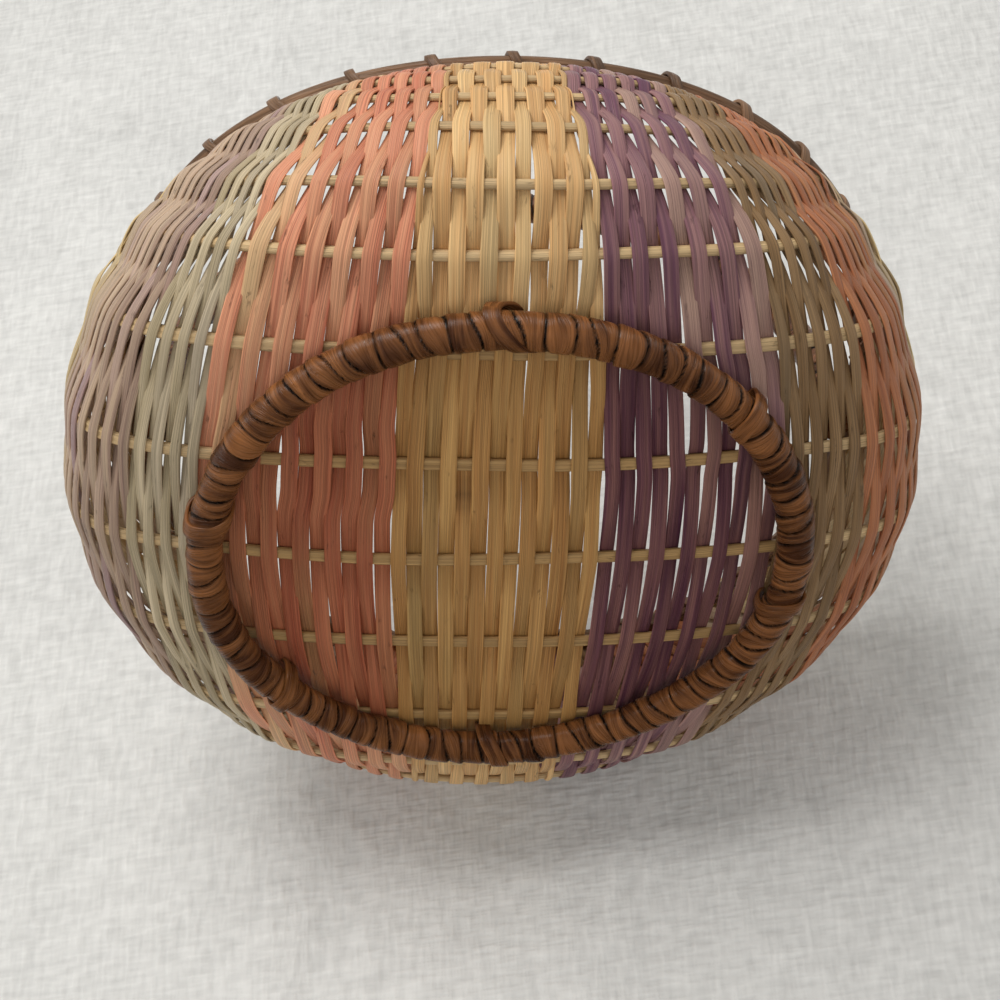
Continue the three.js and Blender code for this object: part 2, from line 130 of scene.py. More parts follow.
# %% The wall as a surface
RIM_ASIDE = 2.5
RIM_CORNERS = 2.5
PULL_FROM, PULL_OVER, PULL_MOST = 50.0, 34.0, 1.08


def smooth_step(x):
    """0 below 0, 1 above 1, and 3*x*x - 2*x*x*x between."""
    x = np.clip(x, 0, 1)
    return x * x * (3 - 2 * x)


def bowl(u, v, lift):
    """A point on the wall laid out flat round the middle of the base. The distance
    sqrt(u*u + v*v) gives radius and height from the table, atan2(v, u) gives the angle,
    and lift goes outwards, square to the wall. The weave has pulled the upper wall out of
    round. From PULL_FROM up, a share rises as smooth_step over PULL_OVER to PULL_MOST.
    Times that share, the radius gains RIM_CORNERS * (1 - cos(4 * angle)) and the point
    moves RIM_ASIDE to the right. Returns the points and the normals."""
    along = np.hypot(u, v)
    angle = np.arctan2(v, u)
    radius, height = (np.interp(along, ALONG, profile[:, k]) for k in (0, 1))
    run, rise = (np.interp(along, ALONG, slopes[:, k]) for k in (0, 1))
    normal = np.stack([rise * np.cos(angle), rise * np.sin(angle), -run], axis=-1)
    pull = smooth_step((height - PULL_FROM) / PULL_OVER) * PULL_MOST
    radius = radius + RIM_CORNERS * (1 - np.cos(4 * angle)) * pull
    x = radius * np.cos(angle) + RIM_ASIDE * pull
    point = np.stack([x, radius * np.sin(angle), height], axis=-1)
    return point + normal * np.asarray(lift)[..., None], normal


rim_points, _ = bowl(WALL * np.array([1.0, 0.0, -1.0]), WALL * np.array([0.0, 1.0, 0.0]), 0.0)
print("the rim passes through", np.round(rim_points, 1).tolist())

# %% [markdown]
# ## From arrays to meshes
#
# Most pieces here are tubes: a closed section carried along a path. A curve object with
# a bevel could do it, but then every strip would have the same section all along. A grid
# of points lets the section swell, flatten and tilt, and gives each face its own place
# in a texture map, with the strip's width one way and its length the other.

# %% A section carried along a path
def directions(centre, normal):
    """The two directions of a section at each point of a path: side is run x normal,
    where run goes along the path, and top is side x run."""
    run = unit(np.gradient(centre, axis=-2))
    side = unit(np.cross(run, normal))
    return side, unit(np.cross(side, run))


def carried(centre, side, top, x, y):
    """The section's points (x, y) at each point of a path: centre + side*x + top*y."""
    return (
        centre[..., None, :]
        + side[..., None, :] * x[..., None]
        + top[..., None, :] * y[..., None]
    )


def grid_faces(rows, sides, closed):
    """Quads of a tube with rows of points, sides to a row: corner (i, j), then (i, j+1),
    (i+1, j+1) and (i+1, j). A closed tube joins its last row to its first."""
    i, j = np.meshgrid(np.arange(rows if closed else rows - 1), np.arange(sides), indexing="ij")
    i, j = i.ravel(), j.ravel()
    corner = [(i, j), (i, j + 1), (i + 1, j + 1), (i + 1, j)]
    faces = np.stack([(a % rows) * sides + b % sides for a, b in corner], axis=1)
    return faces, np.stack([np.stack([a, b], axis=1) for a, b in corner], axis=1)


faces, corners = grid_faces(3, 4, False)
print("three rows of four points have", len(faces), "quads, the first with corners", faces[0])


# %% Faces that look outwards
def signed_volume(mesh):
    """A sixth of the sum of a . (b x c) over the triangles of each face."""
    mesh.calc_loop_triangles()
    co = np.empty(len(mesh.vertices) * 3)
    mesh.vertices.foreach_get("co", co)
    tri = np.empty(len(mesh.loop_triangles) * 3, np.int32)
    mesh.loop_triangles.foreach_get("vertices", tri)
    a, b, c = co.reshape(-1, 3)[tri.reshape(-1, 3)].transpose(1, 0, 2)
    return float(np.einsum("ij,ij->", a, np.cross(b, c))) / 6


def flipped(spots, starts):
    """Texture places after the faces are turned over: each face keeps its first corner
    and takes the others in the opposite order."""
    sizes = np.diff(np.r_[starts, len(spots)])
    size = np.repeat(sizes, sizes)
    first = np.repeat(starts, sizes)
    place = np.arange(len(spots)) - first
    return spots[first + (size - place) % size]


print("two triangles turned over:", flipped(np.arange(6), np.array([0, 3])))


# %% Grids of points become a mesh
def tubes_mesh(name, points, lay, tone, mark, closed=False):
    """One mesh from tubes of the same grid. points is (tubes, rows, sides, 3) in
    millimetres, lay gives the texture place of each grid corner (i, j), and tone and mark
    are values for each point. Each end of an open tube gets one face."""
    tubes, rows, sides, _ = points.shape
    size = rows * sides
    first = np.arange(tubes)[:, None, None] * size
    quads, corners = grid_faces(rows, sides, closed)
    loops = (quads[None] + first).ravel()
    starts = np.arange(tubes * len(quads)) * 4
    spots = lay[:, corners[..., 0], corners[..., 1]].reshape(-1, 2)
    if not closed:
        ends = np.stack([np.arange(sides)[::-1], size - sides + np.arange(sides)])
        caps = (ends[None] + first).reshape(-1, sides)
        starts = np.r_[starts, len(loops) + np.arange(len(caps)) * sides]
        loops = np.r_[loops, caps.ravel()]
        spots = np.vstack([spots, lay[:, :rows, :sides].reshape(-1, 2)[caps.ravel()]])
    mesh = bpy.data.meshes.new(name)
    mesh.vertices.add(tubes * size)
    mesh.vertices.foreach_set("co", (points * MM).astype(np.float32).ravel())
    mesh.loops.add(len(loops))
    mesh.loops.foreach_set("vertex_index", loops.astype(np.int32))
    mesh.polygons.add(len(starts))
    mesh.polygons.foreach_set("loop_start", starts.astype(np.int32))
    mesh.update(calc_edges=True)
    if signed_volume(mesh) < 0:
        mesh.flip_normals()
        spots = flipped(spots, starts)
    mesh.uv_layers.new(name="lay").data.foreach_set("uv", spots.astype(np.float32).ravel())
    for key, values in (("tone", tone), ("mark", mark)):
        attribute = mesh.attributes.new(key, "FLOAT", "POINT")
        attribute.data.foreach_set("value", values.astype(np.float32).ravel())
    mesh.polygons.foreach_set("use_smooth", np.ones(len(starts), bool))
    mesh.validate()
    obj = bpy.data.objects.new(name, mesh)
    bpy.context.scene.collection.objects.link(obj)
    print(f"{name}: {tubes} x {rows} x {sides} points, {len(starts)} faces")
    return obj


# %% [markdown]
# ## Smooth chance
#
# Nothing in a handmade basket repeats exactly. Each strip wanders a little, and its
# colour comes and goes. A few random values spread along the length, joined by a smooth
# curve, give that without noise that jumps from point to point.

# %% A value that wanders along a length
def wander(count, share, knots, spread):
    """count smooth random curves read at share (0 to 1). Between two knots the value
    eases by 3*t*t - 2*t*t*t. share is (count, samples) or (samples,)."""
    table = rng.normal(0, spread, (count, knots + 1))
    at = np.clip(np.broadcast_to(share, (count, share.shape[-1])), 0, 1) * knots
    low = np.minimum(at.astype(int), knots - 1)
    ease = smooth_step(at - low)
    rows = np.arange(count)[:, None]
    return table[rows, low] * (1 - ease) + table[rows, low + 1] * ease


print("between two knots a value eases by", smooth_step(np.linspace(0, 1, 5)))

# %% [markdown]
# ## Where the rods run
#
# The rods cross the strips from side to side. Under the base they are far apart, and on
# the wall they crowd together and grow thinner towards the rim. Those under the base are
# split in two and pressed flat, and the others are round.

# %% Rods, as distances from the middle one
# Half a split rod is SPLIT_WIDE and SPLIT_DEEP, and a round one is OVAL as deep as wide.
# THINNING gives half its width at two distances. Strips clear a rod by TOUCH, and their
# outer faces lie SUNK below the wall's surface.
STRIP_THICK = 0.48
SPLIT_WIDE, SPLIT_DEEP = 1.8, 0.9
OVAL = 0.86
THINNING = [92, 165], [1.45, 0.85]
TOUCH = 0.03
SUNK = 0.2
near = np.array([0.184 * WALL, FOOT_RADIUS - 12, FOOT_RADIUS + 14.3])
far = np.array([0.626, 0.72, 0.786, 0.828, 0.871, 0.915]) * WALL
ROD_V = np.r_[-far[::-1], -near[::-1], 0, near, far]
ROD_SPLIT = np.abs(ROD_V) < FOOT_RADIUS + 2
ROD_HALF = np.interp(np.abs(ROD_V), *THINNING)
ROD_DEEP = np.where(ROD_SPLIT, SPLIT_DEEP, OVAL * ROD_HALF)
SWING = ROD_DEEP + STRIP_THICK / 2 + TOUCH
ROD_LIFT = -(STRIP_THICK / 2 + SUNK) - SWING
ROD_GAP = np.diff(ROD_V)
GAP_V = (ROD_V[1:] + ROD_V[:-1]) / 2
SIDE_RODS = len(ROD_V) // 2
ROD_NODES = (
    [f"rod_front_{i}" for i in range(SIDE_RODS, 0, -1)]
    + ["rod_middle"]
    + [f"rod_back_{i}" for i in range(1, SIDE_RODS + 1)]
)
print("rods at", np.round(ROD_V, 1))

# %% [markdown]
# ## The strips
#
# Each strip starts at its own distance from the middle and runs from rim to rim. Towards
# the rim the strips draw together, because the wall is narrower there than the sheet
# they were laid in. They pass over one rod and under the next, and a neighbour does the
# opposite. Between two rods a strip runs straight, and it bends over each in a few
# millimetres, so its height is a triangle wave with rounded tips.
#
# A flat plane with a woven picture would look right from one side only. Real strips cast
# their shadow on the rods and let light through the slits, so each one is modelled.

# %% How a strip runs on the flat sheet
HALF_SPACING_AT = 1.16 * WALL


def draw_in(start, v):
    """Sideways place of a strip that starts at start. It shrinks by
    1 / (1 + (v / HALF_SPACING_AT)^2), except that the outermost strips, by
    (start / WALL)^8, keep straight on."""
    drawn = 1 - 1 / (1 + (v / HALF_SPACING_AT) ** 2)
    return start * (1 - drawn * (1 - (start / WALL) ** 8))


def strip_reach(start):
    """How far along a strip meets the rim: v = sqrt(WALL^2 - u^2), repeated 60 times."""
    reach = np.full_like(start, WALL)
    for _ in range(60):
        reach = np.sqrt(np.maximum(WALL**2 - draw_in(start, reach) ** 2, 1))
    return reach


print("strips from 0, 60 and 120 mm meet the rim at", strip_reach(np.array([0.0, 60.0, 120.0])))

# %% How it goes over and under
BEYOND_PITCH = 8.0
BEND = 4.0
TIP_LIMITS = 0.3, 0.985


def swing(v, order):
    """Over a rod at 1, under it at -1: asin(k * cos(turn)) / asin(k). turn gains half a
    circle from rod to rod, and past the last rod in each BEYOND_PITCH. k is
    1 - (BEND / gap)^2, nearer to 1 in a wider gap, where the tips are sharper, and stays
    within TIP_LIMITS."""
    beyond = np.maximum(np.abs(v) - ROD_V[-1], 0) / BEYOND_PITCH
    turn = np.pi * (np.interp(v, ROD_V, np.arange(len(ROD_V))) + beyond + order[:, None])
    k = np.clip(1 - (BEND / np.interp(v, GAP_V, ROD_GAP)) ** 2, *TIP_LIMITS)
    return np.arcsin(k * np.cos(turn)) / np.arcsin(k)


print("over and under at the middle rod:", swing(np.zeros((2, 1)), np.arange(2)).ravel())

# %% A flat strip's section
ACROSS = np.array([1, 1, 0.93, 0.5, 0, -0.5, -0.93, -1, -1, -0.93, 0, 0.93])
THROUGH = np.array([-0.5, 0.5, 1, 1, 1, 1, 1, 0.5, -0.5, -1, -1, -1])
SIDES = len(ACROSS)
AROUND = np.arange(SIDES + 1) % SIDES


def section(width, thick, crown):
    """A flat strip's section: a rectangle with its four corners taken off, and its
    upper face raised by crown * (1 - x*x), where x goes from -1 to 1 across it."""
    lift = thick / 2 * THROUGH + crown * (1 - ACROSS**2) * (THROUGH > 0)
    return width[..., None] / 2 * ACROSS, lift


print("a section has", SIDES, "points")

# %% Strips laid out, with their slips and crossings
STEPS = 300
ROW_CROWDING = 0.25
CROSSING = 0.45
SLIP_EASE, SLIP_BACK = 12.0, 0.6


def lay_out(start, order, width, squeeze, slips):
    """Places u across and v along the strips. v runs from rim to rim in steps that grow
    shorter outwards, as t + ROW_CROWDING * (t - t**3). Where strips are wider than their
    pitch they crowd, and slide CROSSING aside as they go over, and back as they go under,
    so that neighbours cross. slips lists (strip, low, high, shift): between the distances
    low and high, the strips from a number on have slid aside by shift, and the others by
    SLIP_BACK of it the other way."""
    count = len(start)
    reach = strip_reach(start)[:, None] + rng.normal(0, 0.3, (count, 1))
    t = np.linspace(-1, 1, STEPS)[None]
    v = reach * (t + ROW_CROWDING * (t - t**3))
    u = squeeze(start[:, None], v)
    over = swing(v, order)
    pitch = np.abs(np.gradient(u, axis=0))
    crowd = np.clip((1 - pitch / width - 0.02) / 0.2, 0, 1)
    slide = wander(count, (v / WALL + 1) / 2, 7, 0.13)
    u = u + CROSSING * crowd * over * np.sign(start[:, None]) + slide
    for strip, low, high, shift in slips:
        push = smooth_step((v - low) / SLIP_EASE) * smooth_step((high - v) / SLIP_EASE)
        u = u + np.where(np.arange(count)[:, None] >= strip, shift, -shift * SLIP_BACK) * push
    return u, v, over, pitch, crowd


# %% Strips woven over the rods
MAP_PLOT = 11.0
HOOP_GRIP = 13.0
GRIPPED_LIFT = -0.45
WIDEST = 1.25
WAIST = 0.13
CROWN, CROWDED_CROWN = 0.05, 0.2


def weave(start, order, width, squeeze, slips):
    """Strips that start at start, as grids of points, texture places and distances v.
    order is each strip's number in the whole basket, and odd ones go under where even
    ones go over. In the last HOOP_GRIP before the rim the height eases to what the hoops
    allow. A strip is at most WIDEST times its pitch. A crowded one is narrower between
    rods, by the share WAIST, and has a rounder back, by CROWDED_CROWN."""
    count = len(start)
    u, v, over, pitch, crowd = lay_out(start, order, width, squeeze, slips)
    share = (v / WALL + 1) / 2
    free = smooth_step((WALL - np.hypot(u, v)) / HOOP_GRIP)
    lift = np.interp(v, ROD_V, ROD_LIFT) + np.interp(v, ROD_V, SWING) * over
    lift = GRIPPED_LIFT + (lift - GRIPPED_LIFT) * free + 0.12 * wander(count, share, 24, 0.5)
    centre, normal = bowl(u, v, lift)
    side, top = directions(centre, normal)
    tilt = wander(count, share, 16, 0.05)[..., None]
    side, top = side + top * tilt, top - side * tilt
    wide = np.minimum(width * rng.normal(1, 0.02, (count, 1)), WIDEST * pitch)
    wide = wide * (1 + wander(count, share, 10, 0.022)) * (1 - WAIST * crowd * (1 - over**2))
    x, y = section(wide, STRIP_THICK, (CROWN + CROWDED_CROWN * crowd)[..., None])
    across = x[:, :, AROUND] + order[:, None, None] * MAP_PLOT
    lay = np.stack(np.broadcast_arrays(across, v[..., None]), axis=-1)
    return carried(centre, side, top, x, y), lay, v


# %% [markdown]
# ## The dyed bands
#
# The strips were dyed before weaving: undyed ones in the middle, coral and faded olive
# green to the left, purple and green to the right, and so on round to the rim. The dye
# went on unevenly. Each strip therefore carries two values at every point: its tone,
# which says how light it is, and a mark, which says how far its dye has faded.

# %% Band by band: name, dye, from and to, number of strips and their width
EDGE = WALL - 2.4
BANDS = [
    ("strips_natural_left", "pale", -EDGE, -0.748 * WALL, 14, 3.7),
    ("strips_purple_left", "mauve", -0.748 * WALL, -0.564 * WALL, 13, 4.0),
    ("strips_green_left", "green", -0.564 * WALL, -FOOT_RADIUS - 2, 8, 4.2),
    ("strips_coral_left", "coral", -FOOT_RADIUS - 2, -0.168 * WALL, 12, 4.42),
    ("strips_natural_middle", "natural", -0.168 * WALL, 0.148 * WALL, 13, 4.27),
    ("strips_purple_right", "purple", 0.148 * WALL, FOOT_RADIUS - 4, 11, 3.95),
    # The right-hand green takes a copy of the green that is painted darker as shade.
    ("strips_green_right", "green_shaded", FOOT_RADIUS - 4, 0.558 * WALL, 9, 4.1),
    ("strips_coral_right", "coral_brown", 0.558 * WALL, 0.759 * WALL, 13, 4.0),
    ("strips_natural_right", "pale", 0.759 * WALL, EDGE, 13, 3.7),
]
SLIPS = {
    "strips_coral_left": [(5, -46, -12, 1.0)],
    "strips_natural_middle": [(8, -138, -72, 0.45), (12, -66, -20, 0.5)],
    "strips_purple_right": [(5, -68, -26, 0.9)],
}
MIDDLE = "strips_natural_middle"
MIDDLE_FROM, MIDDLE_TO = next(band[2:4] for band in BANDS if band[0] == MIDDLE)
print(sum(band[4] for band in BANDS), "strips in", len(BANDS), "bands")


# %% The middle band keeps its spacing
def middle_band(start, v):
    """The undyed strips keep most of their spacing up the wall. Their offset from the
    band's middle shrinks by a tenth over 90 mm, and a soft minimum,
    -log(exp(-offset) + exp(-limit)), holds the outer ones 1.6 mm inside the band's edge,
    where they slide over each other."""
    middle = (MIDDLE_FROM + MIDDLE_TO) / 2
    half = (MIDDLE_TO - MIDDLE_FROM) / 2
    offset = (start - middle) * (1 - 0.1 * smooth_step(np.abs(v) / 90))
    limit = (half - 1.6) * draw_in(np.ones(1), v)
    held = -np.log(np.exp(-np.abs(offset)) + np.exp(-limit))
    return draw_in(np.full(1, middle), v) + np.sign(offset) * np.minimum(held, np.abs(offset))


print("an edge strip lies at", middle_band(np.array(MIDDLE_TO - 2), np.array([0, 80, 160])))

# %% Each band becomes one piece
FADED_AT, FADED_OVER = 0.755 * WALL, 12.0
WORN_STRIP, WORN_AT, WORN_OVER = 4, -22.0, 6.0


def worn_spot(v):
    """How dark the torn fibres are at v: 4 * exp(-((v - WORN_AT) / WORN_OVER)^2), with
    short streaks of 1 + 0.5 * sin(2.7 * v) * sin(1.3 * v)."""
    streaks = 1 + 0.5 * np.sin(2.7 * v) * np.sin(1.3 * v)
    return 4 * np.exp(-(((v - WORN_AT) / WORN_OVER) ** 2)) * streaks


strips = {}
number = 0
for name, dye, low, high, count, width in BANDS:
    start = low + (np.arange(count) + 0.5) * (high - low) / count
    order = np.arange(number, number + count)
    number += count
    squeeze = middle_band if name == MIDDLE else draw_in
    points, lay, v = weave(start, order, width, squeeze, SLIPS.get(name, []))
    share = (v / WALL + 1) / 2
    tone = rng.normal(0, 0.55, (count, 1)) + wander(count, share, 6, 0.35)
    mark = wander(count, share, 5, 0.6) + rng.normal(0, 0.5, (count, 1))
    if dye == "pale":
        beside = np.clip(1 - np.abs(np.abs(start) - FADED_AT) / FADED_OVER, 0, 1)
        mark += 1.6 * beside[:, None]
    if name == MIDDLE:
        tone[WORN_STRIP] -= worn_spot(v[WORN_STRIP])
    tone, mark = (np.repeat(values[..., None], SIDES, axis=2) for values in (tone, mark))
    strips[name] = tubes_mesh(name.replace("strips", "weave"), points, lay, tone, mark), dye

# %% [markdown]
# ## The rods
#
# The rods are tubes too. Under the base each is two split halves side by side, which the
# section shows as a shallow groove down the middle. The cut ends are rubbed down, so
# the last ring of points at each end is smaller.

# %% Round rods and split rods
ROD_STEPS = 150
ROD_SIDES = 14
ROD_END_MARGIN = 12.0
ROD_MAP_WIDTH = 9.0
ROD_PLOT = 13.0
GROOVE_DEEP, GROOVE_WIDE = 0.35, 0.3


def power(wave, exponent):
    """A cosine or sine raised to a power, with its sign kept: less than 1 makes the
    curve's corners squarer."""
    return np.sign(wave) * np.abs(wave) ** exponent


def rod_section(split, half):
    """An oval OVAL as deep as wide. For a split rod it is flatter, with cosine and sine
    raised to 0.7 and 0.6, and has a groove of GROOVE_DEEP that falls off by
    exp(-(x / GROOVE_WIDE)^2)."""
    turn = 2 * np.pi * (np.arange(ROD_SIDES) + 0.5) / ROD_SIDES
    c, s = np.cos(turn), np.sin(turn)
    if not split:
        return half * c, OVAL * half * s
    x, y = SPLIT_WIDE * power(c, 0.7), SPLIT_DEEP * power(s, 0.6)
    return x, y - GROOVE_DEEP * np.sign(y) * np.exp(-((x / GROOVE_WIDE) ** 2))


rods = []
from_end = np.minimum(np.arange(ROD_STEPS), np.arange(ROD_STEPS)[::-1])
ease = np.minimum(1, 0.8 + 0.2 * from_end)[:, None]
for index, (v0, split, half, lift) in enumerate(zip(ROD_V, ROD_SPLIT, ROD_HALF, ROD_LIFT)):
    u = np.sqrt((WALL - ROD_END_MARGIN) ** 2 - v0**2) * np.linspace(-1, 1, ROD_STEPS)
    v = v0 + wander(1, (u / WALL + 1) / 2, 7, 0.35)[0]
    centre, normal = bowl(u, v, np.full_like(u, lift))
    x, y = rod_section(split, half)
    points = carried(centre, *directions(centre, normal), ease * x, ease * y)
    across = np.arange(ROD_SIDES + 1) / ROD_SIDES * ROD_MAP_WIDTH + index * ROD_PLOT
    lay = np.stack(np.broadcast_arrays(across[None], u[:, None]), axis=-1)
    tone = np.full((ROD_STEPS, ROD_SIDES), rng.normal(0, 0.4))
    rods.append(tubes_mesh(f"crossing_{ROD_NODES[index]}", points[None], lay[None], tone, 0 * tone))

# %% [markdown]
# ## Wound peel
#
# The foot ring and the handle are cane with rattan peel wound round them, turn against
# turn. The peel is a single helix. On the cane's surface, with s the share of its length
# and phi the angle round it, the number c = turns * s + hand * phi / (2 pi) grows by one
# from each turn to the next. Its whole part counts the turns and its fraction says where
# across the peel a point lies. That fraction raises a rounded back on each turn and sinks
# a groove between two, which a bump map could not do at the outline.

# %% A helix of peel on any path
TURN_ROWS = 14
GROOVE = 1.0
SWELL = 0.2
LEAN, LEAN_CHANCE = 0.30, 0.16


def wound(name, centre, across, up, turns, wide, high, hand, sides, pitch, closed):
    """The wound surface on a path. Its radius is wide across and high up, less
    GROOVE * (1 - back) with back = (1 - |2x - 1|^9)^0.6, where x is the fraction of c.
    Two slow waves are added to c, so that the turns differ in width. Smooth chance along
    the peel makes each turn swell and shrink by about SWELL, and one edge lies lower than
    the other, by LEAN and LEAN_CHANCE times more chance."""
    rows = centre.shape[0]
    i = np.arange(rows + 1)[:, None]
    phi = (np.pi / 2 + 2 * np.pi * np.arange(sides + 1) / sides)[None]
    round_path = 2 * np.pi * i / rows
    waves = 0.14 * np.sin(round_path * 23 + phi) + 0.09 * np.sin(round_path * 51 - phi)
    lead = hand * (phi - np.pi / 2) / (2 * np.pi)
    c = turns * i / rows + lead + waves
    x = c - np.floor(c)
    length = np.floor(c) - lead
    knots = rng.normal(0, 1, (3, turns * 2 + 8))  # two for each turn, and some to spare
    at = np.mod(length, turns) * 2
    low = at.astype(int)
    ease = smooth_step(at - low)
    swell, lean, shade = knots[:, low] * (1 - ease) + knots[:, low + 1] * ease
    back = (1 - np.abs(2 * x - 1) ** 9) ** 0.6
    raised = SWELL * swell - (LEAN - LEAN_CHANCE * lean) * (x - 0.3)
    sink = np.minimum(GROOVE * (1 - back) - raised * back, GROOVE)
    grid = carried(
        centre, across, up,
        ((wide - sink) * np.cos(phi))[:rows, :sides], ((high - sink) * np.sin(phi))[:rows, :sides],
    )
    lay = np.stack([x * pitch, length * 2 * np.pi * wide], axis=-1)
    # mark, the depth in a groove, is what the peel's painted groove shade follows.
    tone, mark = (0.5 * shade)[:rows, :sides], (1 - back)[:rows, :sides]
    return tubes_mesh(name, grid[None], lay[None], tone, mark, closed=closed)


# %% The foot ring
FOOT_TURNS = 84
FOOT_WIDE, FOOT_HIGH = 5.1, 4.6
FOOT_CENTRE_HEIGHT = 4.65
UPWARD = np.array([0.0, 0.0, 1.0])


def foot_radius(angle):
    """The bent cane isn't a true circle: it is narrower along the strips, by
    2.5 * sin(angle)^2 + 1.2 * sin(angle), with two slow waves of under half a
    millimetre."""
    narrower = 2.5 * np.sin(angle) ** 2 + 1.2 * np.sin(angle)
    return FOOT_RADIUS - narrower + 0.4 * np.sin(3 * angle + 0.8) + 0.3 * np.sin(5 * angle)


turn = 2 * np.pi * np.arange(FOOT_TURNS * TURN_ROWS) / (FOOT_TURNS * TURN_ROWS)
outward = np.stack([np.cos(turn), np.sin(turn), 0 * turn], axis=-1)
foot_centre = outward * foot_radius(turn)[:, None] + UPWARD * FOOT_CENTRE_HEIGHT
foot = wound(
    "wound_foot_ring", foot_centre, outward, np.broadcast_to(UPWARD, outward.shape),
    FOOT_TURNS, FOOT_WIDE, FOOT_HIGH, hand=1, sides=28, pitch=5.8, closed=True,
)

# %% [markdown]
# ## The bow handle
#
# The handle is a hoop of cane that stands beside the inner rim hoop on two opposite
# sides. Its middle line goes straight up from below the rim and over in half an ellipse.

# %% The handle
HANDLE = 4.8
HANDLE_TURNS = 56
HANDLE_RISE = 95.0
HANDLE_GAP = 0.3
handle_low, handle_high = np.array(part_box("handle")) / MM
leg = RIM_RADIUS + INNER_FACE - HANDLE - HANDLE_GAP
arc = np.linspace(0, np.pi, 900)
bow = np.stack([leg * np.cos(arc), 0 * arc, RIM_HEIGHT + HANDLE_RISE * np.sin(arc)], axis=-1)
legs = np.linspace(handle_low[2], RIM_HEIGHT, 60)[:-1]
right_leg = np.stack([0 * legs + leg, 0 * legs, legs], axis=-1)
line = np.vstack([right_leg, bow, (right_leg * [-1, 1, 1])[::-1]]) + [RIM_ASIDE, 0, 0]
steps = travelled(line)
even = np.linspace(0, steps[-1], HANDLE_TURNS * TURN_ROWS)
line = np.stack([np.interp(even, steps, line[:, k]) for k in range(3)], axis=-1)
run = unit(np.gradient(line, axis=0))
handle_up = np.stack([-run[:, 2], 0 * run[:, 0], run[:, 0]], axis=-1)
handle = wound(
    "wound_handle", line, np.broadcast_to([0.0, 1.0, 0.0], line.shape), handle_up,
    HANDLE_TURNS, HANDLE, HANDLE, hand=-1, sides=24, pitch=6.6, closed=False,
)
print(f"the handle is {steps[-1]:.0f} mm long and stands {handle_high[2]:.0f} mm high")

# %% [markdown]
# ## Rim hoops
#
# Two bent canes hold the strips' ends between them. Each is a half round, with its flat
# face to the wall. They could be lathed, but a real cane is never quite even, so its
# height wanders round the rim.

# %% Two half-round hoops
HOOP_MIDDLE = WALL - 1.9
HOOP_ROWS = 420
HOOP_SIDES = 18
HOOP_MAP_WIDTH = 14.0
hoop_turn = 2 * np.pi * np.arange(HOOP_ROWS) / HOOP_ROWS


def hoop(name, hidden, open_face, height):
    """A closed tube round the rim. The section's height is cos^0.55 and its depth goes
    from the hidden face to the open one as (1 + sin^0.5) / 2. The height varies by 5 and
    4 % in waves, and the whole hoop rises and falls by a quarter of a millimetre."""
    angle = 2 * np.pi * (np.arange(HOOP_SIDES) + 0.5) / HOOP_SIDES
    tall = height / 2 * power(np.cos(angle), 0.55)
    deep = hidden + (open_face - hidden) * (1 + power(np.sin(angle), 0.5)) / 2
    wave = 1 + 0.05 * np.sin(7 * hoop_turn) + 0.04 * np.sin(12 * hoop_turn + 1)
    along = HOOP_MIDDLE + tall[None] * wave[:, None] + 0.25 * np.sin(4 * hoop_turn)[:, None]
    u, v = along * np.cos(hoop_turn)[:, None], along * np.sin(hoop_turn)[:, None]
    points, _ = bowl(u, v, deep[None] + 0 * along)
    i = np.arange(HOOP_ROWS + 1)[:, None] / HOOP_ROWS * 2 * np.pi * RIM_RADIUS
    j = np.arange(HOOP_SIDES + 1)[None] / HOOP_SIDES * HOOP_MAP_WIDTH
    lay = np.stack(np.broadcast_arrays(j, i), axis=-1)
    shade = 0.5 * np.sin(3 * hoop_turn + 1)[:, None]
    tone = np.broadcast_to(shade, (HOOP_ROWS, HOOP_SIDES))
    return tubes_mesh(name, points[None], lay[None], tone, 0 * tone, closed=True)


outer_hoop = hoop("cane_rim_outer", 0.0, OUTER_FACE, 4.8)
inner_hoop = hoop("cane_rim_inner", -1.0, INNER_FACE, 4.6)

# %% [markdown]
# ## Lashings, bindings and ties
#
# All of these are flat peel bent round something. The path is a squared-off loop, so
# that the peel lies flat on the hoops' faces and bends quickly at their edges. The rim
# lashing moves on along the rim while it is on the inside, and only a slanting loop
# shows outside.

# %% Peel along a path
PEEL_CROWN = 0.12


def peel(name, points, out, width, thick, plot, closed=False):
    """One length of flat peel whose face looks along out. points and out are
    (rows, 3): side is run x out, and a flat strip's section is carried along the path."""
    run = unit(np.gradient(points, axis=0))
    if closed:
        run = unit(np.roll(points, -1, axis=0) - np.roll(points, 1, axis=0))
    out = unit(out - run * np.einsum("ij,ij->i", out, run)[:, None])
    rows = len(points)
    share = np.linspace(0, 1, rows)
    wide = width * (1 + wander(1, share, max(6, rows // 12), 0.07)[0])
    x, y = section(wide, thick, PEEL_CROWN)
    grid = carried(points, np.cross(run, out), out, x, y)
    lay = np.stack(np.broadcast_arrays(x[:, AROUND] + plot, travelled(points)[:, None]), axis=-1)
    if closed:
        lay = np.concatenate([lay, lay[-1:]])
    tone = np.broadcast_to(wander(1, share, max(4, rows // 20), 0.6)[0][:, None], x.shape)
    return tubes_mesh(name, grid[None], lay[None], tone, 0 * x, closed=closed)


def square_loop(x, half_wide, half_high, exponent=0.5):
    """A loop of one turn for each whole x: cosine and sine raised to an exponent, 1 for
    an ellipse and less for squarer corners. Then the direction outwards from it, with
    cosine and sine raised to 2 - exponent, each divided by its half size."""
    a, b = np.cos(2 * np.pi * x), np.sin(2 * np.pi * x)
    out_a, out_b = power(a, 2 - exponent) / half_wide, power(b, 2 - exponent) / half_high
    return half_wide * power(a, exponent), half_high * power(b, exponent), out_a, out_b


# %% The rim lashing
BAY = math.radians(8)
LASHES = 15
LASH_STEPS = 40


